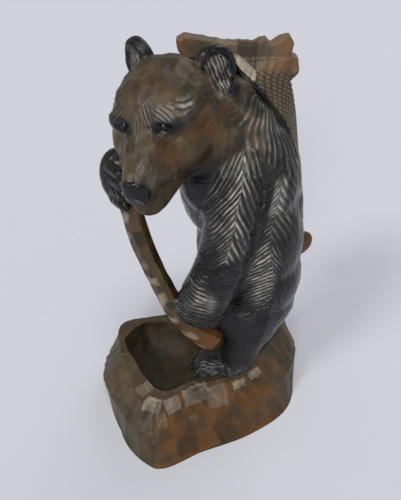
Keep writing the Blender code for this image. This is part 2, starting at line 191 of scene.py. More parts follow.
def fused(name, surfaces, voxel, rounds, clay=None):
    # one skin over all the surfaces, smoothed in so many rounds
    piece = makeMesh(name, surfaces, clay)
    modified(piece, "REMESH", mode="VOXEL", voxel_size=voxel)
    return modified(piece, "SMOOTH", factor=0.5, iterations=rounds)


def pointsOf(piece, what="co"):
    # one row of x, y and z for each vertex, or its normal
    values = np.empty(len(piece.data.vertices) * 3)
    piece.data.vertices.foreach_get(what, values)
    return values.reshape(-1, 3)


def movePoints(piece, points):
    # every vertex goes to its row of the points
    piece.data.vertices.foreach_set("co", points.ravel())
    piece.data.update()


def addCuts(piece, depth):
    # every vertex goes in along its normal by its depth
    movePoints(piece, pointsOf(piece) - pointsOf(piece, "normal") * depth[:, None])


def notes(piece, **values):
    # numbers kept at every vertex, for the material
    for name, numbers in values.items():
        kept = piece.data.attributes.new(name, "FLOAT", "POINT")
        kept.data.foreach_set("value", numbers.astype(np.float32))


def offset(points, at, radii):
    # distance from a middle, counted in radii
    return sizes((points - np.array(at, float)) / radii)


def smooth(values, start=0.0, end=1.0):
    # 0 before the start, 1 after the end, and an S curve between them
    t = np.clip((values - start) / (end - start), 0, 1)
    return t * t * (3 - 2 * t)


def fade(values, start, end):
    # 1 before the start, 0 after the end
    return 1 - smooth(values, start, end)


def bell(values, width=1, power=2):
    # 1 at nought, falling off as e to the minus (values over width) to the power
    return np.exp(-(values / width) ** power)


def xAt(line, z):
    # how far back a line of x and z lies at a height
    x, up = np.array(line, float)[::-1].T
    return np.interp(z, up, x)


def chance(i, j, seed):
    # a repeatable scatter from 0 to 1 for whole-numbered cells
    s = np.sin(i * 127.1 + j * 311.7 + seed * 74.7) * 43758.5453
    return s - np.floor(s)


def wander(p, size, seed):
    # a slow waver from -1 to 1: half the sum of two sine waves in odd directions, each warped by another
    k = 2 * pi / size
    one, two, three, four = (k * (p @ way) for way in ((0.8, 0.5, 0.33), (-0.3, 0.9, 0.4),
                                                       (-0.5, 0.3, 0.81), (0.6, -0.2, 0.7)))
    return (np.sin(one + seed + 1.3 * np.sin(two * 0.7 + 2 * seed))
            + np.sin(three * 1.3 + 3 * seed + 1.1 * np.sin(four + seed))) / 2


def gougeCuts(across, along, pitch, length, seed, taper):
    # lanes side by side, each cut up into strokes: across a lane the depth is 1 - (2f - 1)^2, a round
    # gouge with a sharp ridge on either hand, and along a stroke it drops in fast and runs out slowly;
    # each kind of cuts in the dictionaries is a pitch, a length, a seed and a taper
    lane = np.floor(across / pitch)
    f = across / pitch - lane
    run = along / (length * (0.7 + 0.6 * chance(lane, 1, seed))) + chance(lane, 2, seed) * 7
    stroke = np.floor(run)
    g = run - stroke
    valley = 1 - (2 * f - 1) ** 2
    reach = smooth(g, 0, 0.16) * fade(g, 1 - taper, 1)
    return valley * reach * (0.55 + 0.45 * chance(lane, stroke, seed + 3))


def facets(cells, seed, sharp=0.35):
    # flat-bottomed cuts side by side, each about one random point in a cell of any number of columns:
    # the depth is 1 less the squared distance to the nearest point over how sharp they are, 0 on the
    # ridge to a neighbour, with a shade from -1 to 1 that each cut keeps to itself
    cells = np.stack(cells, -1)
    corner = np.floor(cells)
    nearest, shade = np.full(len(cells), 9.0), np.zeros(len(cells))
    for step in product((-1, 0, 1), repeat=cells.shape[1]):
        cell = corner + step
        number = cell @ (1, 57, 113)[:cells.shape[1]]
        scatter = np.stack([chance(number, k, seed) for k in range(cells.shape[1])], -1)
        far = ((cell + 0.5 + 0.7 * (scatter - 0.5) - cells) ** 2).sum(1)
        shade = np.where(far < nearest, 2 * chance(number, 7, seed) - 1, shade)
        nearest = np.minimum(nearest, far)
    return 1 - np.minimum(nearest / sharp, 1), shade


def alongPath(points, path, facing):
    # for every point: distance from the path, millimetres along it, and millimetres round it from
    # the way it faces, left positive
    p = smoothPath(path, 20)
    xyz, radius = p[:, :3], p[:, 3]
    spans = sizes(np.diff(xyz, axis=0))
    starts = np.concatenate([[0], np.cumsum(spans)])
    best = np.full(len(points), 1e9)
    s, angle, r = (np.zeros(len(points)) for _ in range(3))
    for k in range(len(xyz) - 1):
        edge = xyz[k + 1] - xyz[k]
        t = np.clip((points - xyz[k]) @ edge / (edge @ edge), 0, 1)
        away = points - xyz[k] - t[:, None] * edge
        wide = radius[k] * (1 - t) + radius[k + 1] * t
        gap = sizes(away) - wide
        near = gap < best
        ahead = edge / spans[k]
        u = np.array(facing, float) - (np.array(facing, float) @ ahead) * ahead
        u /= sizes(u)
        best[near] = gap[near]
        s[near] = (starts[k] + t * spans[k])[near]
        angle[near] = np.arctan2(away @ np.cross(ahead, u), away @ u)[near]
        r[near] = wide[near]
    return best, s, angle * r


# the salmon comes first, because the bear's back is cut away under it
salmon = {
    "voxel": 0.62, "smoothing": 3, "triangles": 190000,
    # x, y, z, half width, half thickness and turn of each level section
    "body": ((32, 9, 303, 18, 6, 0), (31, 6, 295, 17, 8, -18), (36.5, 6, 285, 16, 8.5, -44),
             (42, 8, 273, 16.5, 9, -62), (46.5, 10, 258, 18.5, 10, -75), (51.5, 12, 236, 20.5, 10.5, -84),
             (56.5, 14, 210, 21.5, 10.5, -88), (60, 14, 180, 20.5, 10.5, -90), (61, 14, 155, 18, 10, -90),
             (60.5, 14, 135, 15, 9, -90), (59, 13, 119, 9.5, 7, -90), (57, 13, 109, 4, 4, -90)),
    "round": 0.5,
    "fins": (((71.5, 9, 159), (9, 3.5, 12.5), (0, 25, 0)), ((61, 36, 200), (5, 8, 13), (0, 0, 0)),
             ((58, 33, 150), (4, 7, 11), (-25, 0, 0))),
    "tail": ((-22.5, 313.5), (-18, 316), (-8, 314.6), (7.5, 312), (15, 312), (24, 311.5), (32, 314.5),
             (35.5, 310.5), (41, 314), (46.5, 316), (49.5, 311), (48.5, 304.5), (53, 303), (54.5, 294),
             (48, 287), (30, 283), (12, 284), (2, 291), (-8, 296), (-16, 300), (-21.5, 307)),
    # the rays fan out from a root in x and z; each eye is a y, and both are at the last number's z
    "tailY": 11, "tailThick": 12, "fanRoot": (22, 262), "rayReach": 42,
    "scalePitch": 3.4, "scaleDepth": 0.7, "gillZ": 134, "gillWide": 17, "eyes": (5, 22, 125),
    # the edge between its near side and its scaled back, in x and z
    "edge": ((13, 304), (20, 299.5), (26, 295), (36, 282.5), (47, 269), (58, 244.5), (64, 200)),
    "rays": (5.2, 70, 21, 0.2), "sideCuts": (3, 30, 24, 0.45), "finCuts": (2.2, 40, 23, 0.45),
}


def alongFish(p):
    # the path is followed by height: how far each point is across the flank and how far through it
    # towards the bear, with the half width there
    path = smoothPath(salmon["body"], 120)[::-1]
    x, y, wide, turn = (np.interp(p[:, 2], path[:, 2], path[:, k]) for k in (0, 1, 3, 5))
    c, s = np.cos(np.radians(turn)), np.sin(np.radians(turn))
    dx, dy = p[:, 0] - x, p[:, 1] - y
    return dx * c - dy * s, dx * s + dy * c, wide


bear = {
    "coarse": 1.5, "blend": 3.6, "soften": 0.9, "tuck": 0.06, "triangles": 190000,
    "headVoxel": 0.55, "bodyVoxel": 0.7, "past": 8,
    "headAt": (-26, -22, 279), "headTurn": 71, "headNod": 12, "headTilt": 7,
    "torso": (((20, -3, 224), (43, 38, 51)), ((8, -22, 236), (30, 22, 29)), ((11, -4, 283), (17, 16, 13)),
              ((29.5, -4, 174), (40.5, 38, 60)), ((35, -3, 142), (37.5, 38, 42)),
              ((36, -1, 118), (35, 37, 38)), ((31, -22, 108), (25, 20, 34)), ((34, 20, 108), (25, 19, 34)),
              ((28, -14, 118), (34, 26, 40)), ((33, 10, 200), (38, 34, 60))),
    # the line that the trunk's marks are numbered from
    "trunk": ((18, -3, 255, 34), (25, -3, 215, 38), (31, -4, 170, 38), (36, -3, 120, 36), (34, -2, 90, 30)),
    "neck": ((11, -3, 255, 35), (0, -9, 261, 32), (-14, -18, 270, 29)),
    "leftLeg": ((30, -24, 98, 19.5), (27, -25, 80, 16.5), (24, -26, 66, 15.5), (20, -27, 58, 13.5)),
    "rightLeg": ((35, 22, 98, 19.5), (34, 24, 80, 16.5), (31, 24, 66, 15), (28, 24, 58, 13.5)),
    "leftArm": ((20, -27, 236, 22.5), (15, -34, 213, 20.5), (11, -37, 190, 19), (4, -38, 165, 19),
                (-3, -38, 146, 20)),
    "rightArm": ((21, 24, 242, 22), (8, 34, 226, 19), (-7, 38, 212, 17), (-26, 28, 218, 15.5),
                 (-43, 10, 226, 14.5), (-56, -5, 232, 15)),
    # in the head's own axes: forward, left, up; twice where left isn't 0
    "skull": (((-1, 0, 1), (33.5, 32.5, 32.5)), ((12, 0, 11), (23, 26, 22)), ((24, 13, 12), (9.5, 12, 9)),
              ((8, 17, -5), (26, 14.5, 19)), ((-10, 12, -14), (20, 17, 18)), ((28, 9, -8), (20, 10, 16))),
    "muzzle": ((16, 0, 3, 18, 15), (30, 0.5, 0, 13, 13.5), (44, 1, -5, 9.8, 12), (54, 1.5, -9, 8.4, 11)),
    "nose": ((57.5, 1.5, -8.5), (6.6, 7.6, 7.2)), "noseBar": ((57.2, 1.2, -15.4), (4.6, 8.2, 2.6)),
    "jaw": ((8, 0, -18, 17.5), (28, 0, -22, 14), (42, 0, -25, 11), (49, 0, -25, 9.5)),
    # each ear: middle, half width, half height, thickness of its rim and how far it faces sideways
    "ears": {1: ((-21, 24.4, 15), 11, 13.5, 3.5, 45), -1: ((-21, -21.5, 18), 10.5, 16, 3.6, 30)},
    # tufts over the eyes and down the bridge: middle, radii, way of the strokes, how pale a painted
    # highlight, how glossy with painted highlights
    "brows": (((32.5, 4, 19), (8, 3.4, 7), (0, 0.26, -0.97), 0.04, 0.6),
              ((28.8, 13.5, 18.5), (8, 7, 4.2), (0, 0.77, -0.64), 0.06, 0.6),
              ((20, 22, 18.5), (9, 5, 6), (0, 0.87, -0.5), 0.16, 0.55),
              ((32.5, -6, 19), (8, 3.4, 7), (0, -0.26, -0.97), 0, 0.15),
              ((28.8, -13.5, 18.5), (8, 7, 4.2), (0, -0.77, -0.64), 0, 0.2),
              ((20, -22, 18.5), (9, 5, 6), (0, -0.87, -0.5), 0, 0.2),
              ((35, -1.2, 13), (8, 3.2, 8), (0, 0, -1), 0.1, 0.3)),
    # patches of each side of the head: middle, radii, and how glossy with painted highlights on the muzzle,
    # how orange elsewhere
    "muzzleHighlights": (((52, 5, 1), (6, 2.6, 4), 0.4), ((54, 9.5, -5), (5, 2.6, 6), 0.4)),
    "orange": (((20, 27, 2), (18, 12, 15), 0.5), ((37, 15, -3), (12, 9, 9), 0.5),
               ((33, 0, 17), (10, 5, 11), 0.4)),
    # a lip back from the nose, as forward, left and up
    "lips": ((62, 0, -19, 1), (54, 7.5, -18.5, 1), (42, 11.5, -17, 1), (30, 16, -15, 1)),
    "footLong": 42, "footWide": 12, "footHigh": 9, "footZ": 57, "heelBehind": 10, "toes": 4, "fingers": 4,
    # middle, radii, lean, first knuckle, step to the next, curl
    "leftPaw": ((-6, -37, 137), (20.5, 15.5, 21), (0, 20, 0), (-11, -45, 147), (4, 0.3, -7.6),
                (-12, 4, -4)),
    "rightPaw": ((-60, -12, 231), (15, 14, 21), (0, -6, 0), (-66, -19, 242), (0.5, -0.5, -7.6),
                 (8, -11, 1)),
    "eyeRadius": 2.4,
}
fur = {
    # on its left side, in x and z: two ridges that the cuts fan down from, how steeply they fall at a
    # height before and behind the ridge, the crease between arm and flank, and the wrist
    "armRidge": ((20, 268), (17.5, 252), (16, 237), (14.5, 221), (13, 210), (9, 193), (4, 174), (-4, 149),
                 (-9, 125)),
    "armSlope": ((125, 6, 60), (150, 13, 62), (175, 26, 64), (195, 40, 66), (215, 50, 66), (245, 57, 66),
                 (268, 60, 66)),
    "flankRidge": ((46, 262), (44, 249), (42, 219), (40, 199), (42, 175), (46, 150), (44, 120), (36, 90),
                   (32, 60)),
    "flankSlope": ((60, 2, 2), (105, 6, 8), (125, 14, 25), (140, 22, 45), (170, 30, 60), (200, 38, 62),
                   (250, 50, 62)),
    "crease": ((31, 262), (29, 224), (26.5, 202), (22.6, 176), (18.3, 151), (14.3, 123), (-20, 112)),
    "wrist": ((-20, 168), (-5, 177), (5, 183), (15, 187)),
    "deep": 1.25, "clumpLong": 27, "clumpDeep": 1.5, "creaseDeep": 2.6, "wristDeep": 1.4,
    # the way each limb faces, where its marks are numbered from
    "facing": {"leftArm": (-0.1, -1, 0.1), "rightArm": (0, -0.3, 1), "leftLeg": (-0.2, -1, 0),
               "rightLeg": (0, 1, 0), "trunk": (-1, 0, 0)},
    "cuts": {"arm": (2.9, 26, 1, 0.3), "flank": (2.9, 20, 2, 0.3), "mitt": (3.3, 18, 17, 0.3),
             "foot": (2.7, 15, 18, 0.4), "trunk": (5.2, 26, 3, 0.6), "rightArm": (3.4, 16, 5, 0.35),
             "leftLeg": (3.2, 16, 6, 0.35), "rightLeg": (3.6, 16, 7, 0.35), "leftArm": (3.0, 16, 10, 0.35),
             "head": (5.0, 15, 8, 0.6), "muzzle": (3.6, 13, 20, 0.5), "brow": (1.9, 14, 12, 0.3),
             "ear": (2.4, 12, 14, 0.3)},
    # how far the cuts slant round a limb, and how deep they are
    "slants": {"rightArm": (1.1, 0.4), "leftLeg": (0.2, 0.5), "rightLeg": (0.45, 0.4),
               "leftArm": (0.2, 0.5)},
    # places in x and z glossy with painted highlights: middle, reach and how glossy
    "highlightPatches": ((36, 170, 11, 27, 0.9), (44, 205, 9, 10, 0.6)), "pawPatch": (-4.3, 155, 8, 9),
}


def headMatrix():
    # the head's forward, left and up as columns, nodded and tilted about its middle
    turn, nod, tilt = (radians(bear[key]) for key in ("headTurn", "headNod", "headTilt"))
    ahead, up = Vector((-cos(turn), -sin(turn), 0)), Vector((0, 0, 1))
    left = Vector((sin(turn), -cos(turn), 0))
    crown = ahead * sin(nod) + up * cos(nod)
    axes = Matrix((ahead * cos(nod) - up * sin(nod), left * cos(tilt) + crown * sin(tilt),
                   crown * cos(tilt) - left * sin(tilt))).transposed()
    return Matrix.Translation(bear["headAt"]) @ axes.to_4x4()


head = headMatrix()


def inHead(points):
    # points as forward, left and up of the head: the head's matrix undone
    return placed(points, head.inverted())


def foot(leg):
    # a low wedge from the heel forwards, four toes and their claws
    x, y = leg[-1][:2]
    heel, z, wide, high = x + bear["heelBehind"], bear["footZ"], bear["footWide"], bear["footHigh"]
    made = [ball((heel - 9 - t * (bear["footLong"] - 19), y, z),
                 (9, wide * (0.8 + 0.25 * t), high * (1.1 - 0.15 * t))) for t in np.linspace(0, 1, 9)]
    for k in range(bear["toes"]):
        side = (k - (bear["toes"] - 1) / 2) / (bear["toes"] / 2)
        tx, ty, tz = heel - bear["footLong"] + 6 + 4 * side ** 2, y + side * wide * 0.95, z - 1.5
        claw = ((tx - 4, ty, tz + 1, 2.2), (tx - 8, ty, tz - 2, 1.7), (tx - 11, ty, tz - 5.5, 0.9))
        made += [ball((tx, ty, tz), (8.5, 4.0, 7)), tube(claw, step=1)]
    return made


def paw(at, radii, lean, knuckle, step, curl):
    # a rounded fist with fingers one above another over the stave
    made = [ball(at, radii, lean)]
    curl = Vector(curl)
    for k in range(bear["fingers"]):
        root = Vector(knuckle) + Vector(step) * k
        made.append(tube(((*(root - curl * 0.1), 4.4), (*(root + curl * 0.4), 4.6), (*(root + curl), 4.0))))
    return made


def ear(side):
    # a rolled rim carried round an arch, over a backing plate and a root
    at, wide, high, rim, faces = bear["ears"][side]
    place = head @ Matrix.Translation(at) @ Matrix.Rotation(side * radians(faces), 4, "Z")
    arch = [(0, wide * cos(a), high * (sin(a) if a > 0 else sin(a) * 0.6), rim, rim * 1.4)
            for a in np.radians(np.linspace(-35, 215, 12))]
    return [tube(arch, place, upright=(1, 0.01, 0.01)),
            ball((0.8, 0, 0), (4.2, wide * 1.1, high * 1.1), axes=place),
            ball((-3, 0, 1 - high), (10, wide * 1.2, 12), axes=place)]


def roundedForms():
    # what flows together: torso, neck, limbs, skull, muzzle, jaw and the roots of the ears
    made = [ball(at, radii, sides=72) for at, radii in bear["torso"]]
    made += [tube(bear[name], sides=48) for name in ("neck", "leftLeg", "rightLeg", "leftArm", "rightArm")]
    for (forward, left, up), radii in bear["skull"]:
        made += [ball((forward, side * left, up), radii, axes=head, sides=60)
                 for side in ((1, -1) if left else (1,))]
    made += [tube(bear["muzzle"], head, square=0.5), tube(bear["jaw"], head, square=0.85)]
    return made + [form for side in (1, -1) for form in ear(side)[2:]]


def crispForms():
    # what keeps its own edges: feet, paws, nose and ears
    made = foot(bear["leftLeg"]) + foot(bear["rightLeg"]) + paw(*bear["leftPaw"]) + paw(*bear["rightPaw"])
    made += [ball(*bear["nose"], axes=head, square=0.55), ball(*bear["noseBar"], axes=head, square=0.4)]
    return made + [form for side in (1, -1) for form in ear(side)[:2]]


def pastHead(p):
    # distance outside the head: a ball for the skull, one for each ear and a capsule for the muzzle
    h = inHead(p)
    muzzle = h.copy()
    muzzle[:, 0] -= np.clip(h[:, 0], 0, 56)
    gap = np.minimum(sizes(h - (0, 0, 6)) - 44, sizes(muzzle + (0, 0, 10)) - 30)
    for side in (1, -1):
        gap = np.minimum(gap, sizes(h - (-21, side * 25, 20)) - 27)
    return gap


def joined(edges, count):
    # points that edges join get the same number: the lowest that any of them holds, passed on until
    # nothing changes
    number = np.arange(count)
    while True:
        low = number.copy()
        np.minimum.at(low, edges[:, 0], number[edges[:, 1]])
        np.minimum.at(low, edges[:, 1], number[edges[:, 0]])
        low = low[low]
        if (low == number).all():
            return number
        number = low


def trimmed(piece, beyond, limit):
    # takes off what lies past the limit, keeps the largest part left and closes each hole with a
    # fan to its middle
    mesh = piece.data
    mesh.calc_loop_triangles()
    faces = np.empty(len(mesh.loop_triangles) * 3, np.int64)
    mesh.loop_triangles.foreach_get("vertices", faces)
    points, faces, keep = pointsOf(piece), faces.reshape(-1, 3), beyond <= limit
    count, visits = len(points), np.array([3])
    while visits.max() > 2:
        # an edge of one face only is on a rim, and a rim passes each of its points once
        left = faces[keep[faces].all(1)]
        edges = left[:, (0, 1, 1, 2, 2, 0)].reshape(-1, 2)
        pairs = np.sort(edges, 1) @ (count, 1)
        _, first, times = np.unique(pairs, return_index=True, return_counts=True)
        rim = edges[first[times == 1]]
        visits = np.bincount(rim.ravel(), minlength=count)
        keep &= visits <= 2
    parts = joined(edges, count)
    largest = np.bincount(parts[left[:, 0]]).argmax()
    left, rim = left[parts[left[:, 0]] == largest], rim[parts[rim[:, 0]] == largest]
    _, hole = np.unique(joined(rim, count)[rim[:, 0]], return_inverse=True)
    middles = np.column_stack([np.bincount(hole, points[rim[:, 0], k]) for k in range(3)])
    middles /= np.bincount(hole)[:, None]
    left = np.vstack([left, np.column_stack([rim[:, 1], rim[:, 0], count + hole])])
    used, left = np.unique(left, return_inverse=True)
    mesh.clear_geometry()
    mesh.from_pydata(np.vstack([points, middles])[used].tolist(), [], left.reshape(-1, 3).tolist())
    return piece


def roundsFor(blend, voxel):
    # smoothing spreads as the root of its rounds, so they are 2 (blend / voxel)^2
    return round(2 * (blend / voxel) ** 2)


print("bear: clay")
clay = fused("clay", roundedForms(), bear["coarse"], roundsFor(bear["blend"], bear["coarse"]))
eyeMiddles = {side: fromWorld(sum(np.array(corner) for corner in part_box(node)) / 2)
              for side, node in ((1, "eye_left"), (-1, "eye_right"))}


def gouged(across, along, kind):
    # the depth of one kind of cut, and the hair that each point is on
    return gougeCuts(across, along, *fur["cuts"][kind]), across / fur["cuts"][kind][0]


def fromRidge(p, name):
    # a cut that leaves the ridge at height z0 falls at that height's slope, so z0 = z + |t| tan(slope):
    # four rounds of that give z0, the integral of cos(slope) up to it numbers the lanes, and the
    # run along the cut is |t| / cos(slope); each side of the ridge has slopes of its own
    heights, near, far = np.array(fur[name + "Slope"], float).T
    pitch, _, seed, _ = fur["cuts"][name]
    waver = wander(p, 45, seed)
    z0 = p[:, 2]
    for _ in range(4):
        t = p[:, 0] + waver - xAt(fur[name + "Ridge"], z0)
        slope = np.radians(np.where(t < 0, np.interp(z0, heights, near), np.interp(z0, heights, far)))
        z0 = p[:, 2] + np.minimum(np.abs(t), 40) * np.tan(slope)
    z = np.linspace(0, 340, 341)
    lanes = [np.interp(z0, z, np.cumsum(np.cos(np.radians(np.interp(z, heights, angles)))))
             for angles in (near, far)]
    lanes = np.where(t < 0, lanes[0], lanes[1] + 100.5 * pitch) + 0.25 * wander(p, 24, seed)
    return *gouged(lanes, np.abs(t) / np.cos(slope) + 0.4 * pitch, name), t, z0


def carveBear(p, n):
    # the depth to cut at every point, and for the finish which hair it is on (a whole number is the
    # ridge between two cuts), how far fur shows, how glossy it is with painted highlights, how pale from
    # wear and painted highlight, and the shade of its cut; the depth is the sum of each layer's weight
    # times its own depth, with the details added
    h = inHead(p)
    forward, left, up = h.T
    x, y, z = p.T
    none = 0 * z
    q = {key: alongPath(p, bear[key], facing) for key, facing in fur["facing"].items()}
    onHead = fade(pastHead(p), -14, -4)
    gaps = np.stack([gap for gap, _, _ in q.values()])
    share = np.exp(-np.clip(gaps - gaps.min(0), 0, 30) / 2.5)
    share = dict(zip(q, share / share.sum(0) * (1 - onHead)))
    crease = xAt(fur["crease"], z)
    leftSide = (1 - onHead) * smooth(-n[:, 1], 0.0, 0.35) * smooth(-y, 18, 26)
    arm = (leftSide * smooth(crease - x, -1, 1) * smooth(z, 114, 120) * fade(q["leftArm"][0], 2, 6)
           * fade(z, 260, 272))
    wrist = np.interp(x, *np.array(fur["wrist"], float).T)
    mitt = arm * smooth(wrist - z, -1, 1)
    arm = arm - mitt
    flank = leftSide * smooth(x - crease, -1, 1) * smooth(z, 66, 74) * fade(z, 232, 258) * fade(x, 56, 68)
    onFoot = (1 - onHead) * fade(z, 62, 70)
    rest = (1 - arm - mitt - flank) * (1 - onFoot)
    layers = []     # weight, depth, hair, how far fur shows, shade
    strokes, hair, t, z0 = fromRidge(p, "arm")
    short = fade(t, 8, 14)
    clump = (268 - z0) / fur["clumpLong"] + 0.12 * wander(p, 30, 15)
    clump = (clump - np.floor(clump)) * np.exp(-np.abs(t) / 9) * smooth(z - wrist, 1, 14)
    layers.append((arm, fur["deep"] * strokes * short - fur["clumpDeep"] * clump, hair,
                   short * smooth(np.abs(t), 0, 1), none))
    # painted glints down the arm's ridge, in its clumps and on its upper left
    armGlossAndHighlight = (bell(t, 8) * (0.45 + 0.9 * clump) * smooth(z - wrist, 3, 10)
                + 0.3 * smooth(z, 190, 215) * (t < 0))
    strokes, hair, t, _ = fromRidge(p, "flank")
    short, low = fade(t, 6, 14), smooth(z, 118, 140)
    depth = fur["deep"] * strokes * (0.35 + 0.65 * low) * (0.25 + 0.75 * short)
    layers.append((flank * (1 - onFoot), depth, hair,
                   (0.25 + 0.75 * low) * short * smooth(np.abs(t), 0, 1), none))
    # a painted glint down the flank's ridge, and patches painted glossy with highlights
    paintedGlint = bell(t, 4.5, 4) * smooth(z, 212, 218) * fade(z, 236, 244)
    flankGlossAndHighlight = 1.5 * paintedGlint
    for atX, atZ, wide, tall, much in fur["highlightPatches"]:
        flankGlossAndHighlight = np.maximum(flankGlossAndHighlight, much * bell(np.hypot((x - atX) / wide, (z - atZ) / tall), 1, 4))
    flats, shade = facets((x / 10, z / 12), 16)
    fingers = fade(x, -6, 0)
    strokes, hair = gouged(z + 0.12 * x, x + 40, "mitt")
    layers.append((mitt, (0.35 + 0.75 * fingers) * strokes + 0.8 * flats, hair, 0.2 + 0.8 * fingers, shade))
    strokes, hair = gouged(y + 0.1 * x + wander(p, 20, 18), x + 60, "foot")
    layers.append((onFoot, 0.7 * strokes, hair, none + 0.9, none))
    # the trunk is cut upwards round an upright line, and in broad flats
    flats, shade = facets(((p + wander(p, 50, 34)[:, None] * (0, 0, 3)) / (15, 13, 25)).T, 33)
    strokes, hair = gouged(30 * np.arctan2(-3 - y, 31 - x) + 3 * wander(p, 40, 4), z, "trunk")
    depth = 0.4 * strokes * smooth(np.hypot(x - 31, y + 3), 14, 24) + 0.8 * flats
    layers.append((rest * share["trunk"], depth, hair, none + 0.25, shade))
    # round the left arm and the legs, and slanting down the right arm
    for key, (slant, deep) in fur["slants"].items():
        _, s, t = q[key]
        level = s * cos(slant) - t * sin(slant) + wander(p, 23, fur["cuts"][key][2])
        strokes, hair = gouged(level, t * cos(slant) + s * sin(slant) + 40, key)
        layers.append((rest * share[key], deep * strokes, hair, none + 0.45, none))
    # back over the head from the nose, in flats on the dome and the cheeks
    angle, behind = np.arctan2(left, up + 4), 62 - forward
    dome, onMuzzle = smooth(up, -2, 8) * fade(forward, 30, 38), smooth(forward, 34, 42)
    flats, shade = facets((angle * 3.4, behind / 11), 9)
    strokes, hair = gouged(angle * 26 + 1.5 * wander(p, 19, 8), behind, "head")
    strokes = (1 - onMuzzle) * 0.38 * strokes * smooth(np.hypot(left, up + 4), 8, 16) + dome * 0.8 * flats
    strokes += onMuzzle * fade(forward, 50, 55) * 0.4 * gouged(left + 0.5 * up + 40, behind, "muzzle")[0]
    flats, sideShade = facets((h / (10, 7, 10)).T, 19)
    strokes += (1 - dome) * 0.6 * flats
    layers.append((onHead, strokes, hair, 0.18 * (1 - onMuzzle),
                   0.55 * np.where(dome > 0.5, shade, sideShade)))
    weights, depths, hairs, shown, shades = (np.array(values) for values in zip(*layers))
    depth, shade = sum(weights * depths), sum(weights * shades)
    most = np.argmax(weights, 0)
    hair = np.choose(most, hairs)
    furry = np.choose(most, shown) * smooth(weights.max(0) / (weights.sum(0) + 1e-6), 0.6, 0.9)
    depth -= flank * 1.2 * np.exp(-np.abs(x - xAt(fur["flankRidge"], z)) / 5)
    # the crease behind the arm and the step down to the paw
    depth += fur["creaseDeep"] * bell(x - crease, 2.2) * leftSide * smooth(z, 126, 150) * fade(z, 225, 250)
    depth += fur["wristDeep"] * bell(z - wrist, 2.2) * (arm + mitt) * fade(x, 0, 14)
    atX, atZ, wide, tall = fur["pawPatch"]
    patch = bell(np.hypot((x - atX) / wide, (z - atZ) / tall), 1, 4)
    # the finish paints highlights where it is glossy: arm and flank ridges, paw, near foot, and the upper
    # back where it stands for a painted reflection; the paw patch is pale wear, the flank glint a painted
    # highlight
    glossAndHighlight = np.clip(arm * armGlossAndHighlight + flank * flankGlossAndHighlight + mitt * (0.5 * patch + 0.3 * fingers)
                    + 0.16 * onFoot * (y < 0)
                    + rest * 0.24 * smooth(z, 190, 240) * (x > 10) * (1 + 0.6 * shade), 0, 1)
    paleWearAndHighlight = 0.22 * mitt * patch + 0.25 * flank * paintedGlint
    # each tuft is painted glossy and pale as a highlight
    for at, radii, way, highlightPaleness, paintedShine in bear["brows"]:
        d = h - at
        inside = bell(sizes(d / radii) + 0.15 * wander(p, 5, 13), 1, 4)
        strokes, tuft = gouged(d @ (0, -way[2], way[1]), d @ way + 20, "brow")
        depth += inside * ((0.3 + 0.7 * paintedShine) * strokes - 0.3 * smooth(paintedShine, 0.2, 0.5))
        glossAndHighlight, paleWearAndHighlight = np.maximum(glossAndHighlight, paintedShine * inside), np.maximum(paleWearAndHighlight, highlightPaleness * inside)
        furry = np.maximum(furry * (1 - inside), (0.25 + paintedShine) * smooth(inside, 0.35, 0.8))
        hair = np.where(inside > 0.35, tuft, hair)
    for side in (1, -1):
        # the socket round an eye, the lip, and the ear with its cup
        _, across, above = (h - inHead(eyeMiddles[side][None])[0]).T
        front, ring = smooth(forward, 16, 22), np.hypot(across * 0.75, above * 1.2)
        depth += front * 2.3 * bell(ring, 4.2)
        depth -= front * 0.25 * bell(ring - 4.4, 1.1)
        lips = np.array(bear["lips"], float) * (1, side, 1, 1)
        depth += 1.6 * bell(alongPath(h, lips, (0, 0, 1))[0] + 1, 1.2)
        # painted highlights on the muzzle's top
        for at, radii, much in bear["muzzleHighlights"]:
            glossAndHighlight = np.maximum(glossAndHighlight, much * bell(offset(h, np.multiply(at, (1, side, 1)), radii), 1, 4))
        at, wide, high, _, faces = bear["ears"][side]
        a = side * radians(faces)
        ahead, across, above = (h - at).T
        out, over = ahead * cos(a) + across * sin(a), -ahead * sin(a) + across * cos(a)
        ring = np.hypot(over / wide, above / high)
        inEar, cup = fade(ring, 1.35, 1.55), fade(ring, 0.72, 0.9) * smooth(out, 0, 3)
        curve = np.where(cup > 0.5, over + 1.5 * np.sin(above / 7) + 0.5 * wander(p, 9, 27),
                         out + 0.3 * over)
        strokes, tuft = gouged(curve, above + 30, "ear")
        depth += (0.35 * inEar * (1 - cup) + 1.0 * cup) * smooth(above, -16, -8) * strokes
        # the ear's cup is painted glossy and pale, a painted highlight over its shade
        glossAndHighlight, paleWearAndHighlight = np.maximum(glossAndHighlight * (1 - inEar), cup), np.maximum(paleWearAndHighlight, 0.25 * cup)
        furry = np.maximum(furry * (1 - inEar), inEar * (0.3 + 0.7 * cup))
        hair = np.where(inEar > 0.5, tuft, hair)
    # the back is cut away under the salmon
    across, out, wide = alongFish(p)
    under = (fade(np.abs(across), wide * 0.6, wide * 0.95) * smooth(x, 38, 46) * smooth(z, 122, 140)
             * fade(z, 272, 286))
    depth += (1 - onHead) * under * np.clip(1 - out, 0, 6)
    return depth, {"hair": hair, "fur": furry, "glossAndHighlight": glossAndHighlight, "tone": shade, "worn": paleWearAndHighlight}


def bearPiece(name, outside, voxel, surfaces):
    # its share of the clay: past its edge it sinks under its neighbour, and is closed there
    near = trimmed(linked(name + "_clay", clay.data.copy()), outside(pointsOf(clay)), 2 * bear["past"])
    piece = fused(name, surfaces, voxel, roundsFor(bear["soften"], voxel), near)
    bpy.data.objects.remove(near)
    p, n = pointsOf(piece), pointsOf(piece, "normal")
    past = outside(p)
    depth, _ = carveBear(p, n)
    movePoints(piece, p - n * (depth + bear["tuck"] * np.clip(past, 0, 20) ** 2)[:, None])
    thinned(trimmed(piece, past, bear["past"]), bear["triangles"])
    return piece


def pastBody(p):
    # distance outside all but the head
    return -pastHead(p)


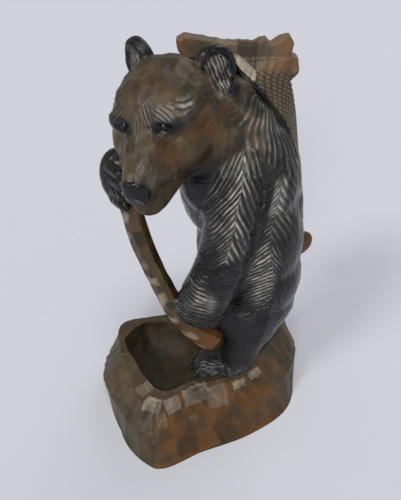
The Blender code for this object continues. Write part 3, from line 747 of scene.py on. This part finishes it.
def dressBear(piece):
    # how brown, how orange and how deep in a cut each point is, with what the carving notes
    p, n = pointsOf(piece), pointsOf(piece, "normal")
    depth, marks = carveBear(p, n)
    h = inHead(p)
    forward, left, up = h.T
    brown = fade(pastHead(p), -12, 14)
    brown *= 1 - 0.8 * smooth(-up, 18, 30) * fade(forward, 12, 26)
    brown = np.maximum(brown, fade(offset(p, (12, -34, 270), (26, 22, 22)), 0.8, 1.2)
                       * (0.55 + 0.25 * wander(p, 12, 3)))
    amber = 0 * brown
    for side in (1, -1):
        at = bear["ears"][side][0]
        brown *= smooth(offset(h, at, (11, 17, 19)), 0.85, 1.2)
        _, eyeLeft, eyeUp = inHead(eyeMiddles[side][None])[0]
        around = np.hypot((left - eyeLeft - side * 3) / 10.5, (up - eyeUp - 1) / 5.5)
        brown *= 1 - smooth(forward, 12, 20) * fade(around, 0.5, 1.25) * 0.95
        for at, radii, much in bear["orange"]:
            amber = np.maximum(amber, much * fade(offset(h, np.multiply(at, (1, side, 1)), radii), 0, 1.3))
    brown *= 1 - 0.95 * fade(offset(h, (61, 1.5, -10), (8.5, 10, 10)), 0.75, 1.1)
    notes(piece, cut=np.clip(depth, 0, 2), brown=np.clip(brown, 0, 1),
          amber=np.clip(brown * (amber + 0.12 + 0.2 * wander(p, 34, 6)), 0, 1) * fade(forward, 40, 50),
          **marks)


headForms, bodyForms = [], []
for form in crispForms():
    (headForms if pastHead(form.reshape(-1, 3)).min() < -5 else bodyForms).append(form)
bears = [bearPiece("bear_head", pastHead, bear["headVoxel"], headForms),
         bearPiece("bear_body", pastBody, bear["bodyVoxel"], bodyForms)]
bpy.data.objects.remove(clay)
for piece in bears:
    dressBear(piece)


def salmonClay():
    # the body's rings are level: across and out at each round angle, turned by the section's turn;
    # the tail is one outline at four depths
    path = smoothPath(salmon["body"], 130)
    u = np.linspace(0, 2 * pi, 64, endpoint=False)
    across = path[:, 3, None] * bent(np.cos(u), salmon["round"])
    out = path[:, 4, None] * bent(np.sin(u), salmon["round"])
    c, s = np.cos(np.radians(path[:, 5]))[:, None], np.sin(np.radians(path[:, 5]))[:, None]
    body = np.stack([path[:, 0, None] + across * c + out * s, path[:, 1, None] - across * s + out * c,
                     path[:, 2, None] + 0 * across], -1)
    edge = np.array(salmon["tail"], float)
    rings = []
    for t, shrink in ((-1, 0.95), (-0.75, 1), (0.75, 1), (1, 0.95)):
        ring = edge.mean(0) + (edge - edge.mean(0)) * shrink
        y = np.full(len(ring), salmon["tailY"] + t * salmon["tailThick"] / 2)
        rings.append(np.column_stack([ring[:, 0], y, ring[:, 1]]))
    return [body, *(ball(*fin) for fin in salmon["fins"]), np.array(rings)]


def carveSalmon(p):
    # the depth is a net of two sets of slanting lines on the flank, rays on the tail, a flat near side
    # with a pale chip on its edge, the gill, the eyes and the fins; parts are weights from 0 to 1
    x, y, z = p.T
    across, _, wide = alongFish(p)
    fan = smooth(z + 0.15 * x, 299, 305)
    above = z - np.interp(x, *np.array(salmon["edge"], float).T)
    chip = fade(np.abs(above + 0.4), 2.6, 3.1) * smooth(x, 11, 12) * fade(x, 25.5, 26.3) * (y < 8)
    side = fade(y, 6, 12) * fade(above, -1.6, -0.4) * smooth(z, 235, 250) * (1 - chip)
    onFin = fade(np.min([offset(p, at, radii) for at, radii, _ in salmon["fins"]], axis=0), 1.1, 1.35)
    flank = ((1 - fan) * (1 - side) * (1 - onFin) * smooth(z, 139, 144)
             * fade(np.abs(across) / wide, 0.93, 1))
    s = -z * 1.08
    net = np.minimum(*(np.abs(np.mod(d / 1.414 / salmon["scalePitch"], 1) - 0.5)
                       for d in (s + across, s - across)))
    depth = flank * salmon["scaleDepth"] * fade(net, 0.05, 0.24)
    rootX, rootZ = salmon["fanRoot"]
    level = np.arctan2(x - rootX, z - rootZ) * salmon["rayReach"]
    depth += (side * 1.1 + 0.5 * side * gougeCuts(above, x, *salmon["sideCuts"])
              + chip * (0.6 + 0.1 * (above + 3)))
    depth += (fan * 0.7 * gougeCuts(level, z, *salmon["rays"]) * (1 - chip)
              * (0.4 + 0.6 * smooth(np.abs(y - salmon["tailY"]), 3, 5)))
    depth += (1 - chip) * fan * 1.4 * smooth(x, 14.5, 15.5) * fade(x, 24, 30) * (y < salmon["tailY"])
    arc = salmon["gillZ"] + 7 * (1 - ((y - 14) / salmon["gillWide"]) ** 2)
    depth += (x > 58) * 1.8 * bell(z - arc, 1.5)
    depth += (x > 60) * 0.35 * facets((y / 5, z / 9), 22)[0] * (z < arc)
    *eyes, eyeZ = salmon["eyes"]
    for eyeY in eyes:
        depth += (x > 58) * 1.2 * bell(np.hypot(y - eyeY, z - eyeZ) - 2.4, 0.7)
    depth += onFin * 0.5 * gougeCuts(z - 0.3 * x - 0.3 * y, y, *salmon["finCuts"])
    pitch, _, seed, _ = salmon["rays"]
    # the near side is painted darker, a painted shade where it faces down
    tone = (fan * (2 * chance(np.floor(level / pitch), 1, seed) - 0.6)
            + (1 - fan) * (0.5 + 0.4 * wander(p, 12, 6)) - 1.2 * side)
    return depth, fan, side, chip, tone, flank * smooth(net, 0.1, 0.4)


print("salmon")
salmonPiece = fused("salmon", salmonClay(), salmon["voxel"], salmon["smoothing"])
addCuts(salmonPiece, carveSalmon(pointsOf(salmonPiece))[0])
thinned(salmonPiece, salmon["triangles"])
p = pointsOf(salmonPiece)
x, _, z = p.T
depth, fan, side, chip, tone, scale = carveSalmon(p)
orange = fan * (0.1 + 0.5 * smooth(x, 22, 44) + 0.55 * fade(x, -20, -6) + 0.25 * wander(p, 25, 5))
onFin = smooth(x, 71, 77) * (z < 180)
# the near side is painted blacker, the same painted shade
notes(salmonPiece, cut=np.clip(depth, 0, 2), brown=(0.9 + 0.1 * wander(p, 14, 9)) * (1 - 0.6 * side),
      amber=np.clip(orange + 0.1 + 0.6 * onFin, 0, 1), worn=np.maximum(1.2 * chip, 0.2 * scale + 0.1 * fan),
      tone=tone)

# the split branch it leans on
stave = {
    # x, y, z, half width, half depth
    "path": ((-57, -21, 247, 6, 5), (-57, -23, 238, 7, 6), (-54, -27, 217, 7.5, 6.5),
             (-49, -28, 190, 8, 6.5), (-42.5, -28, 167, 8, 6.5), (-34, -28, 142, 8.5, 6.5),
             (-25.5, -29, 121, 9, 6.5), (-12, -31, 103, 10, 7), (4, -32, 91, 13, 8)),
    "flats": 6, "phase": 12, "sharp": 40, "rings": 300, "columns": 108, "cuts": 0.55,
}


def staveSurface():
    # a profile carried along the path: its reach at angle u is the inner radius over the p-norm of
    # the cosines to its flats, which rounds the corners a little; cuts are taken off that
    path = smoothPath(stave["path"], stave["rings"])
    _, across, out = waysOf(path, (0, 1, 0))
    u = np.linspace(0, 2 * pi, stave["columns"], endpoint=False)
    flats = np.radians(stave["phase"] + 30 + np.arange(stave["flats"]) * 60)
    cosines = np.maximum(np.cos(u[:, None] - flats), 0)
    reach = cos(pi / 6) / (cosines ** stave["sharp"]).sum(1) ** (1 / stave["sharp"])
    s = np.concatenate([[0], np.cumsum(sizes(np.diff(path[:, :3], axis=0)))])
    sGrid, uGrid = np.meshgrid(s, u, indexing="ij")
    flat = np.floor((uGrid - flats[0] + pi / 6) / (pi / 3))
    cuts, shade = facets((flat.ravel() * 3, sGrid.ravel() / 17 + flat.ravel() * 0.6), 31)
    cuts = stave["cuts"] * cuts.reshape(sGrid.shape)
    ends = 0.85 + 0.15 * smooth(s, 0, 1.5)[:, None]
    wide, deep = ((path[:, k, None] * reach - cuts) * ends for k in (3, 4))
    points = swept(path, across, out, wide * np.cos(u), deep * np.sin(u))
    # the columns are turned round so that the faces look outwards
    return points[:, ::-1], *(grid.reshape(sGrid.shape)[:, ::-1].ravel() for grid in (sGrid, uGrid, shade))


print("stave")
surface, s, u, shade = staveSurface()
stavePiece = makeMesh("stave", [surface])
p = pointsOf(stavePiece)
# the side at 220 degrees round is painted as the lit side, browner with pale painted highlights; the far
# side is painted shade, blacker with orange patches; near the end one face is painted pale
end, litSide = s.max(), np.cos(u - radians(220))
notes(stavePiece, tone=shade - 0.7 * smooth(s, end - 30, end - 20),
      brown=np.clip(0.8 + 0.35 * litSide, 0, 1),
      amber=np.clip(0.1 + 0.85 * smooth(s, end - 40, end - 14) + 0.45 * smooth(wander(p, 18, 3), 0.1, 0.8)
                    + 0.3 * smooth(-litSide, -0.3, 0.3) * (wander(p, 30, 7) > 0), 0, 1),
      worn=0.5 * smooth(wander(p, 24, 8), 0.2, 0.7) * smooth(litSide, 0.4, 0.8)
      + 0.5 * smooth(s, end - 20, end - 12) * smooth(np.cos(u - radians(80)), 0.7, 0.9))

# the hollowed block under it
block = {
    # each corner: where it meets the table, where the wall is widest, and its top with height
    "corners": (((-46, -91), (-50, -79), (-54, -64, 49)), ((-5, -76), (-8, -61), (-12, -45, 48)),
                ((36, -60), (33, -48), (30, -30, 51)), ((70, -36), (68, -22), (55, -4, 57)),
                ((82, -6), (84, 8), (70, 15, 58)), ((80, 32), (79, 33), (67, 32, 57)),
                ((20, 50), (20, 49), (18, 44, 55)), ((-50, 44), (-52, 42), (-50, 32, 55)),
                ((-88, 24), (-92, 18), (-82, 18, 57)), ((-94, -14), (-97, -18), (-77, -16, 54)),
                ((-78, -56), (-80, -50), (-66, -42, 52))),
    "widestAt": 28, "standAt": (22, 2, 49),
    "mouth": ((-77, 3), (-64, -24), (-53, -41), (-37, -52), (-16, -41), (-6, -31), (-7, 2), (-26, 22),
              (-60, 24)),
    "hollowTop": 70, "hollowFloor": 25, "columns": 560, "bowlRings": 44, "topRings": 26, "wallRings": 60,
    "gougeDepth": 1.1, "bowlCuts": 0.9, "rimCuts": 1.2,
    "leftCuts": (9.5, 200, 41, 0.2), "rightCuts": (9.5, 160, 45, 0.2), "topCuts": (7.125, 46, 47, 0.3),
    "chipCuts": (1.7, 60, 51, 0.1),
    # flat chips down from the rim: middle, how wide along it and down it, and how worn
    "chips": ((-52, -47, 49.5, 11, 13, 0.3), (-47, -62, 46, 14, 12, 0.8), (-31, -58, 41, 14, 13, 0.75),
              (-13.5, -48, 41, 20, 15, 0.42), (-12, -43, 44, 18, 6, 0.6), (6.5, -47, 38, 17, 18, 0.38),
              (26, -37.5, 41, 12, 7, 0.85), (40.5, -29, 45, 12, 8, 0.75), (-40, -70, 35, 9, 13, 0.25),
              (-14, -61.5, 27, 8, 6, 0.22)),
}


def closedLoop(corners, steps):
    # Catmull-Rom right round: the first corner follows the last
    q = np.array([*corners[-1:], *corners, *corners[:2]], float)
    return smoothPath(q, (len(q) - 1) * steps + 1)[steps:-2 * steps]


def reachOf(loop, middle, angles):
    # how far out from the middle the loop lies at each angle, and its height there
    d = loop[:, :2] - middle
    a = np.arctan2(d[:, 1], d[:, 0])
    order = np.argsort(a)
    height = loop[order, 2] if loop.shape[1] > 2 else 0 * a
    return [np.interp(angles, a[order], values, period=2 * pi) for values in (sizes(d)[order], height)]


def scoopReach(t):
    # the scoop's share of its mouth, with t 0 at its top and 1 at the middle of its floor
    return np.cos(t * pi / 2) ** 0.7 * 0.92 + 0.08


def blockSurface():
    # rings about the middle of the hollow: its floor, up the bowl to the mouth, out over the top,
    # down the wall through its widest ring to the table, and in under it
    low, widest, top = (closedLoop([corner[k] for corner in block["corners"]], 30) for k in range(3))
    middle = np.array(block["mouth"], float).mean(0)
    u = np.linspace(-pi, pi, block["columns"], endpoint=False)
    (rLow, _), (rWide, _), (rTop, zTop), (rMouth, _) = (
        reachOf(loop, middle, u) for loop in (low, widest, top, closedLoop(block["mouth"], 30)))
    ray = np.stack([np.cos(u), np.sin(u)], 1)
    stand = np.array(block["standAt"], float)

    def topHeight(r):
        # a straight line from the standing place to the outline
        d = middle + ray * r[:, None] - stand[:2]
        edge, z = reachOf(top, stand[:2], np.arctan2(d[:, 1], d[:, 0]))
        return stand[2] + (z - stand[2]) * np.clip(sizes(d) / edge, 0, 1)

    # the scoop's height is its top less its drop times sin(t pi / 2)^0.8; it meets the top at the rim
    drop = block["hollowFloor"] - block["hollowTop"]
    rim = np.full(len(u), 0.2)
    for _ in range(20):
        want = (topHeight(rMouth * scoopReach(rim)) - block["hollowTop"]) / drop
        rim = np.arcsin(np.clip(want, 0, 1) ** 1.25) * 2 / pi
    rings = []      # radius and height
    for k in np.linspace(1, 0, block["bowlRings"]):
        t = rim + (1 - rim) * k
        rings.append((rMouth * scoopReach(t) * (1 if k < 1 else 0.02),
                      block["hollowTop"] + drop * np.sin(t * pi / 2) ** 0.8))
    inner = rings[-1][0]
    for k in np.linspace(0, 1, block["topRings"])[1:]:
        r = inner * (1 - k) + rTop * k
        rings.append((r, topHeight(r)))
    wall = ((rTop, zTop), (rWide, block["widestAt"] + 0 * zTop), (rLow, 0 * zTop))
    for k in np.linspace(0, 1, block["wallRings"])[1:]:
        j = 0 if k < 0.5 else 1
        t = (k - 0.5 * j) * 2
        rings.append([a * (1 - t) + b * t for a, b in zip(wall[j], wall[j + 1])])
    rings += [(rLow * k, 0 * zTop) for k in (0.985, 0.9, 0.75, 0.5, 0.25, 0.02)]
    radii, heights = np.array(rings).transpose(1, 0, 2)
    points = np.concatenate([middle + ray * radii[..., None], heights[..., None]], -1)
    # the columns are turned round so that the faces look outwards
    return points[:, ::-1], np.broadcast_to(u, radii.shape)[:, ::-1].ravel()


def carveBlock(p, u):
    # round the wall the cuts are numbered by the length of its widest ring, not by angle, so that
    # they keep one width; on top they follow the outline; rim chips are flat steps
    columns = block["columns"]
    row, column = np.divmod(np.arange(len(p)), columns)
    bowlEnd, topEnd = block["bowlRings"] - 1, block["bowlRings"] + block["topRings"] - 2
    wallEnd = topEnd + block["wallRings"] - 1
    rings = p.reshape(-1, columns, 3)
    ring = rings[(topEnd + wallEnd) // 2]
    around = np.cumsum(sizes(np.diff(ring, axis=0, prepend=ring[-1:])))[column]
    middle = np.array(block["mouth"], float).mean(0)
    fromEdge = sizes(rings[topEnd, :, :2] - middle)[column] - sizes(p[:, :2] - middle)
    z = p[:, 2]
    inBowl = fade(row, bowlEnd - 1, bowlEnd + 1)
    wall = smooth(row, topEnd - 1, topEnd + 2) * fade(row, wallEnd - 1, wallEnd)
    top = (1 - inBowl) * fade(row, topEnd - 1, topEnd + 1)
    front, right = bell(u + 0.95, 0.8, 8), bell(u - 0.35, 0.5, 8)
    left = np.clip(1 - front - right, 0, 1)
    deep, waver = block["gougeDepth"], 2 * wander(p, 45, 4)
    flats, shade = facets((around / 16, z / 17), 46)
    depth = wall * (left * deep * gougeCuts(around + waver, z + 60, *block["leftCuts"])
                    + right * deep * gougeCuts(around + 0.4 * z + waver, z + 60, *block["rightCuts"])
                    + front * deep * 1.3 * flats)
    depth += top * 0.8 * deep * gougeCuts(fromEdge + waver, around, *block["topCuts"])
    flats, bowlShade = facets((p / (13, 13, 15)).T, 42)
    depth += inBowl * block["bowlCuts"] * flats * smooth(row, 1, 6)
    flats, plane = facets((around / 26, z / 34), 49)
    depth += wall * 0.9 * flats * smooth(z, 0, 6)
    pitch, _, seed, _ = block["leftCuts"]
    lane = chance(np.floor((around + waver) / pitch), 3, seed) * 2 - 1
    # the bowl is painted darker, a painted shade in the hollow
    tone = np.select([inBowl > 0.5, top > 0.5, front > 0.5],
                     [0.4 * bowlShade - 1.1, 0.5 * plane, 0.6 * shade + 0.4 * plane - 0.2],
                     0.5 * lane + 0.5 * plane)
    worn = np.zeros(len(p))
    outline = closedLoop([corner[2] for corner in block["corners"]], 30)[:, :2]
    for *at, wide, tall, wear in block["chips"]:
        # a and b are how far along the rim and down the chip; its edges waver
        near = np.argmin(sizes(outline - at[:2]))
        along = outline[(near + 8) % len(outline)] - outline[near - 8]
        out = np.array((along[1], -along[0])) / sizes(along)
        away = p - at
        a, b = away[:, :2] @ (-out[1], out[0]), (away[:, :2] @ out - away[:, 2]) * 0.707
        ragged = 0.5 * wander(p, 6, 52)
        chip = (fade(np.abs(a) + ragged, wide / 2 - 0.7, wide / 2)
                * fade(np.abs(b) + ragged, tall / 2 - 0.8, tall / 2 + 0.3))
        chip *= (sizes(away) < 25) * (1 - inBowl)
        lines = gougeCuts(b, a + 20, *block["chipCuts"])
        depth += chip * (block["rimCuts"] * (0.5 + 0.06 * a) + 0.3 * lines)
        worn = np.maximum(worn, chip * wear * (1 - 0.4 * lines) * (0.85 - 0.4 * b / tall))
    return depth, inBowl, wall, worn, front, right, tone


print("block")
surface, u = blockSurface()
blockPiece = makeMesh("block", [surface])
p = pointsOf(blockPiece)
depth, inBowl, wall, chips, front, right, tone = carveBlock(p, u)
addCuts(blockPiece, depth)
# the bowl is painted less brown and darker, a painted shade in the hollow
notes(blockPiece, cut=depth * 0.3, tone=tone, matt=inBowl, worn=chips,
      brown=np.clip(0.9 - 0.15 * inBowl + 0.15 * wander(p, 25, 5), 0, 1),
      amber=np.clip(front * wall * (0.75 + 0.25 * wander(p, 30, 6) + 0.2 * tone) * (1 - chips)
                    + 0.3 * right * wall * (wander(p, 40, 7) > 0) + 0.06 * inBowl, 0, 1))
print("block:", len(blockPiece.data.polygons), "faces")

# a glass bead in each socket
beads = []
for side, node in ((1, "eye_left"), (-1, "eye_right")):
    bead = ball(eyeMiddles[side], [bear["eyeRadius"] - 0.1] * 3, sides=32)
    beads.append((makeMesh("bead_" + node, [bead]), node))


class Wire:
    # a shader socket that adds, subtracts and multiplies as a number does
    def __init__(self, tree, socket=None):
        self.tree, self.socket = tree, socket

    def node(self, kind, settings=None, inputs=None, output=0):
        # any node: its settings first, then a value or a link for each input named
        made = self.tree.nodes.new(kind)
        for key, value in (settings or {}).items():
            setattr(made, key, value)
        for key, value in (inputs or {}).items():
            if isinstance(value, Wire):
                self.tree.links.new(value.socket, made.inputs[key])
            else:
                made.inputs[key].default_value = value
        return Wire(self.tree, None if output is None else made.outputs[output])

    def maths(self, operation, *values):
        # a Math node on any values
        return self.node("ShaderNodeMath", {"operation": operation}, dict(enumerate(values)))

    def function(self, operation):
        # a Math node on this alone
        return self.maths(operation, self)

    def __add__(self, other):
        return self.maths("ADD", self, other)

    def __sub__(self, other):
        return self.maths("SUBTRACT", self, other)

    def __rsub__(self, other):
        return self.maths("SUBTRACT", other, self)

    def __mul__(self, other):
        return self.maths("MULTIPLY", self, other)

    __radd__, __rmul__ = __add__, __mul__

    def between(self, low, high):
        # 0 at the low value, 1 at the high one, an S curve between
        return self.node("ShaderNodeMapRange", {"interpolation_type": "SMOOTHSTEP"},
                         {0: self, 1: low, 2: high})

    def mix(self, first, second):
        # from one colour to the other as this goes from 0 to 1
        return self.node("ShaderNodeMix", {"data_type": "RGBA"}, {0: self, 6: first, 7: second}, 2)


stain = {
    "black": (0.003, 0.003, 0.0032, 1), "blackLight": (0.009, 0.009, 0.0092, 1),
    "brown": (0.032, 0.0205, 0.0085, 1), "brownLight": (0.082, 0.056, 0.0255, 1),
    # paintedHighlight is the colour of the painted glints, worn the colour of pale wear and painted
    # highlights
    "paintedHighlight": (0.62, 0.60, 0.55, 1), "amber": (0.120, 0.047, 0.0085, 1), "worn": (0.44, 0.37, 0.285, 1),
    "dark": (0.003, 0.0026, 0.0022, 1),
    "roughness": 0.25, "specular": 0.34, "shades": 0.35, "relief": 0.0006,
}


def stainedWood(name):
    # stain over carved wood: which colour, how pale from wear and painted highlights, and how deep in a cut
    # is noted at every vertex
    made = bpy.data.materials.new(name)
    made.use_nodes = True
    made.node_tree.nodes.clear()
    w = Wire(made.node_tree)
    cut, brown, amber, worn, glossAndHighlight, hair, fur, tone, matt = (
        w.node("ShaderNodeAttribute", {"attribute_name": key}, output=2)
        for key in ("cut", "brown", "amber", "worn", "glossAndHighlight", "hair", "fur", "tone", "matt"))
    at = w.node("ShaderNodeTexCoord", output=3)

    def noise(where, scale, detail):
        # a slow scatter from 0 to 1, so many lumps to a metre
        return w.node("ShaderNodeTexNoise", {}, {"Vector": where, "Scale": scale, "Detail": detail})

    # the grain of one upright log is noise drawn out along Z
    upright = w.node("ShaderNodeMapping", {}, {0: at, 3: (1, 1, 0.12)})
    grain, cloud, speck = noise(upright, 800.0, 4.0), noise(at, 70.0, 5.0), noise(at, 600.0, 3.0)
    mottled = (grain * 0.5 + cloud * 0.5).between(0.3, 0.7)
    black = mottled.mix(stain["black"], stain["blackLight"])
    woody = mottled.mix(stain["brown"], stain["brownLight"])
    colour = (brown + (cloud - 0.5) * 0.4 + (speck - 0.5) * 0.3).between(0.15, 0.85).mix(black, woody)
    orange = (amber + (cloud - 0.53) * 1.6 * amber.between(0.0, 0.3)).between(0.0, 1.0)
    colour = orange.mix(colour, stain["amber"])
    # pale wear on chips and the paw, and on the bear and the stave pale painted highlights
    colour = ((worn + (speck - 0.5) * 0.3 * worn) * 0.85).mix(colour, stain["worn"])
    # each whole number of hair is the ridge between two cuts: 1 on it, 0 half way to the next
    ridge = ((hair.function("FRACT") * 2) - 1).function("ABSOLUTE")
    lane = w.node("ShaderNodeTexWhiteNoise", {"noise_dimensions": "1D"},
                  {"W": (hair + 0.5).function("FLOOR")})
    broken = noise(at, 170.0, 2.0).between(0.35, 0.65) * 0.8 + 0.2
    # painted highlights: where it is glossy, the ridges between cuts are painted pale as glints
    paintedShine = glossAndHighlight * (ridge.between(0.4, 1.0) * (lane * 0.75 + 0.25) * broken + 0.08)
    colour = paintedShine.mix(colour, stain["paintedHighlight"])
    shadow = cut.between(0.2, 1.3) * 0.5 + fur * (1 - ridge.between(0.0, 0.6)) * 0.5
    colour = w.node("ShaderNodeVectorMath", {"operation": "SCALE"},
                    {0: shadow.mix(colour, stain["dark"]), "Scale": tone * stain["shades"] + 1})
    strands = (hair * 25.1 + cloud * 6).function("SINE")
    height = fur * (ridge * 0.9 + strands * 0.1) + grain * 0.2 + speck * 0.2
    bump = w.node("ShaderNodeBump", {}, {"Strength": 0.6, "Distance": stain["relief"], "Height": height})
    rough = stain["roughness"] + (cloud - 0.5) * 0.25 + brown * 0.2 + matt * 0.25 - glossAndHighlight * 0.06
    shader = w.node("ShaderNodeBsdfPrincipled", {}, {
        "Base Color": colour, "Roughness": rough, "Normal": bump, "Specular IOR Level": stain["specular"]})
    w.node("ShaderNodeOutputMaterial", {}, {0: shader}, None)
    return made


def plain(name, colour, roughness):
    # one colour and one roughness all over
    made = bpy.data.materials.new(name)
    made.use_nodes = True
    shader = made.node_tree.nodes["Principled BSDF"]
    shader.inputs["Base Color"].default_value = (*colour, 1)
    shader.inputs["Roughness"].default_value = roughness
    return made


def finished(piece, material):
    # the piece in metres, shaded smooth, in its material
    movePoints(piece, toWorld(pointsOf(piece)))
    piece.data.polygons.foreach_set("use_smooth", [True] * len(piece.data.polygons))
    piece.data.materials.clear()
    piece.data.materials.append(material)


print("finishes")
wood = stainedWood("stained_wood")
glass = plain("eye_glass", (0.004, 0.004, 0.005), 0.06)
for piece in (*bears, salmonPiece, stavePiece, blockPiece):
    finished(piece, wood)
    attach(piece, "root")
    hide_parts("carved_bear")
for piece, node in beads:
    finished(piece, glass)
    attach(piece, "root")
    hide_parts(node)

# the table, the lamps and the camera
room = {
    "camera": (-1.485, -285.008, 393.4), "down": 37.655, "angle": 54,
    "floor": (0.60, 0.60, 0.645), "floorReach": 6000, "world": (0.86, 0.87, 0.92), "worldStrength": 0.37,
    # where each soft lamp shines from, how wide it looks in degrees and how strong it is
    "lamps": (((-0.9, -0.8, 1.1), 14, 1.1), ((0.1, -0.5, 1.3), 20, 0.95),
              ((-0.25, -1.0, 0.45), 14, 0.9), ((0.6, 0.9, 0.9), 40, 0.5)),
}

reach = room["floorReach"] * unit
mesh = bpy.data.meshes.new("floor")
mesh.from_pydata([(x * reach, y * reach, lowCorner[2]) for x, y in ((-1, -1), (1, -1), (1, 1), (-1, 1))],
                 [], [(0, 1, 2, 3)])
floor = linked("floor", mesh)
floor.data.materials.append(plain("cloth", room["floor"], 0.9))
for k, (at, wide, strength) in enumerate(room["lamps"]):
    lamp = linked(f"lamp{k}", bpy.data.lights.new(f"lamp{k}", "SUN"))
    lamp.data.angle, lamp.data.energy = radians(wide), strength
    lamp.rotation_euler = (-Vector(at)).to_track_quat("-Z", "Y").to_euler()
world = bpy.data.worlds.new("room")
world.use_nodes = True
sky = world.node_tree.nodes["Background"].inputs
sky["Color"].default_value, sky["Strength"].default_value = (*room["world"], 1), room["worldStrength"]
bpy.context.scene.world = world
camera = linked("camera", bpy.data.cameras.new("camera"))
camera.location = Vector(room["camera"]) * unit
camera.rotation_euler = (radians(90 - room["down"]), 0, 0)
camera.data.angle = radians(room["angle"])
camera.data.clip_start, camera.data.clip_end = 0.01, 20
bpy.context.scene.camera = camera
bpy.context.scene.view_settings.view_transform = "Standard"
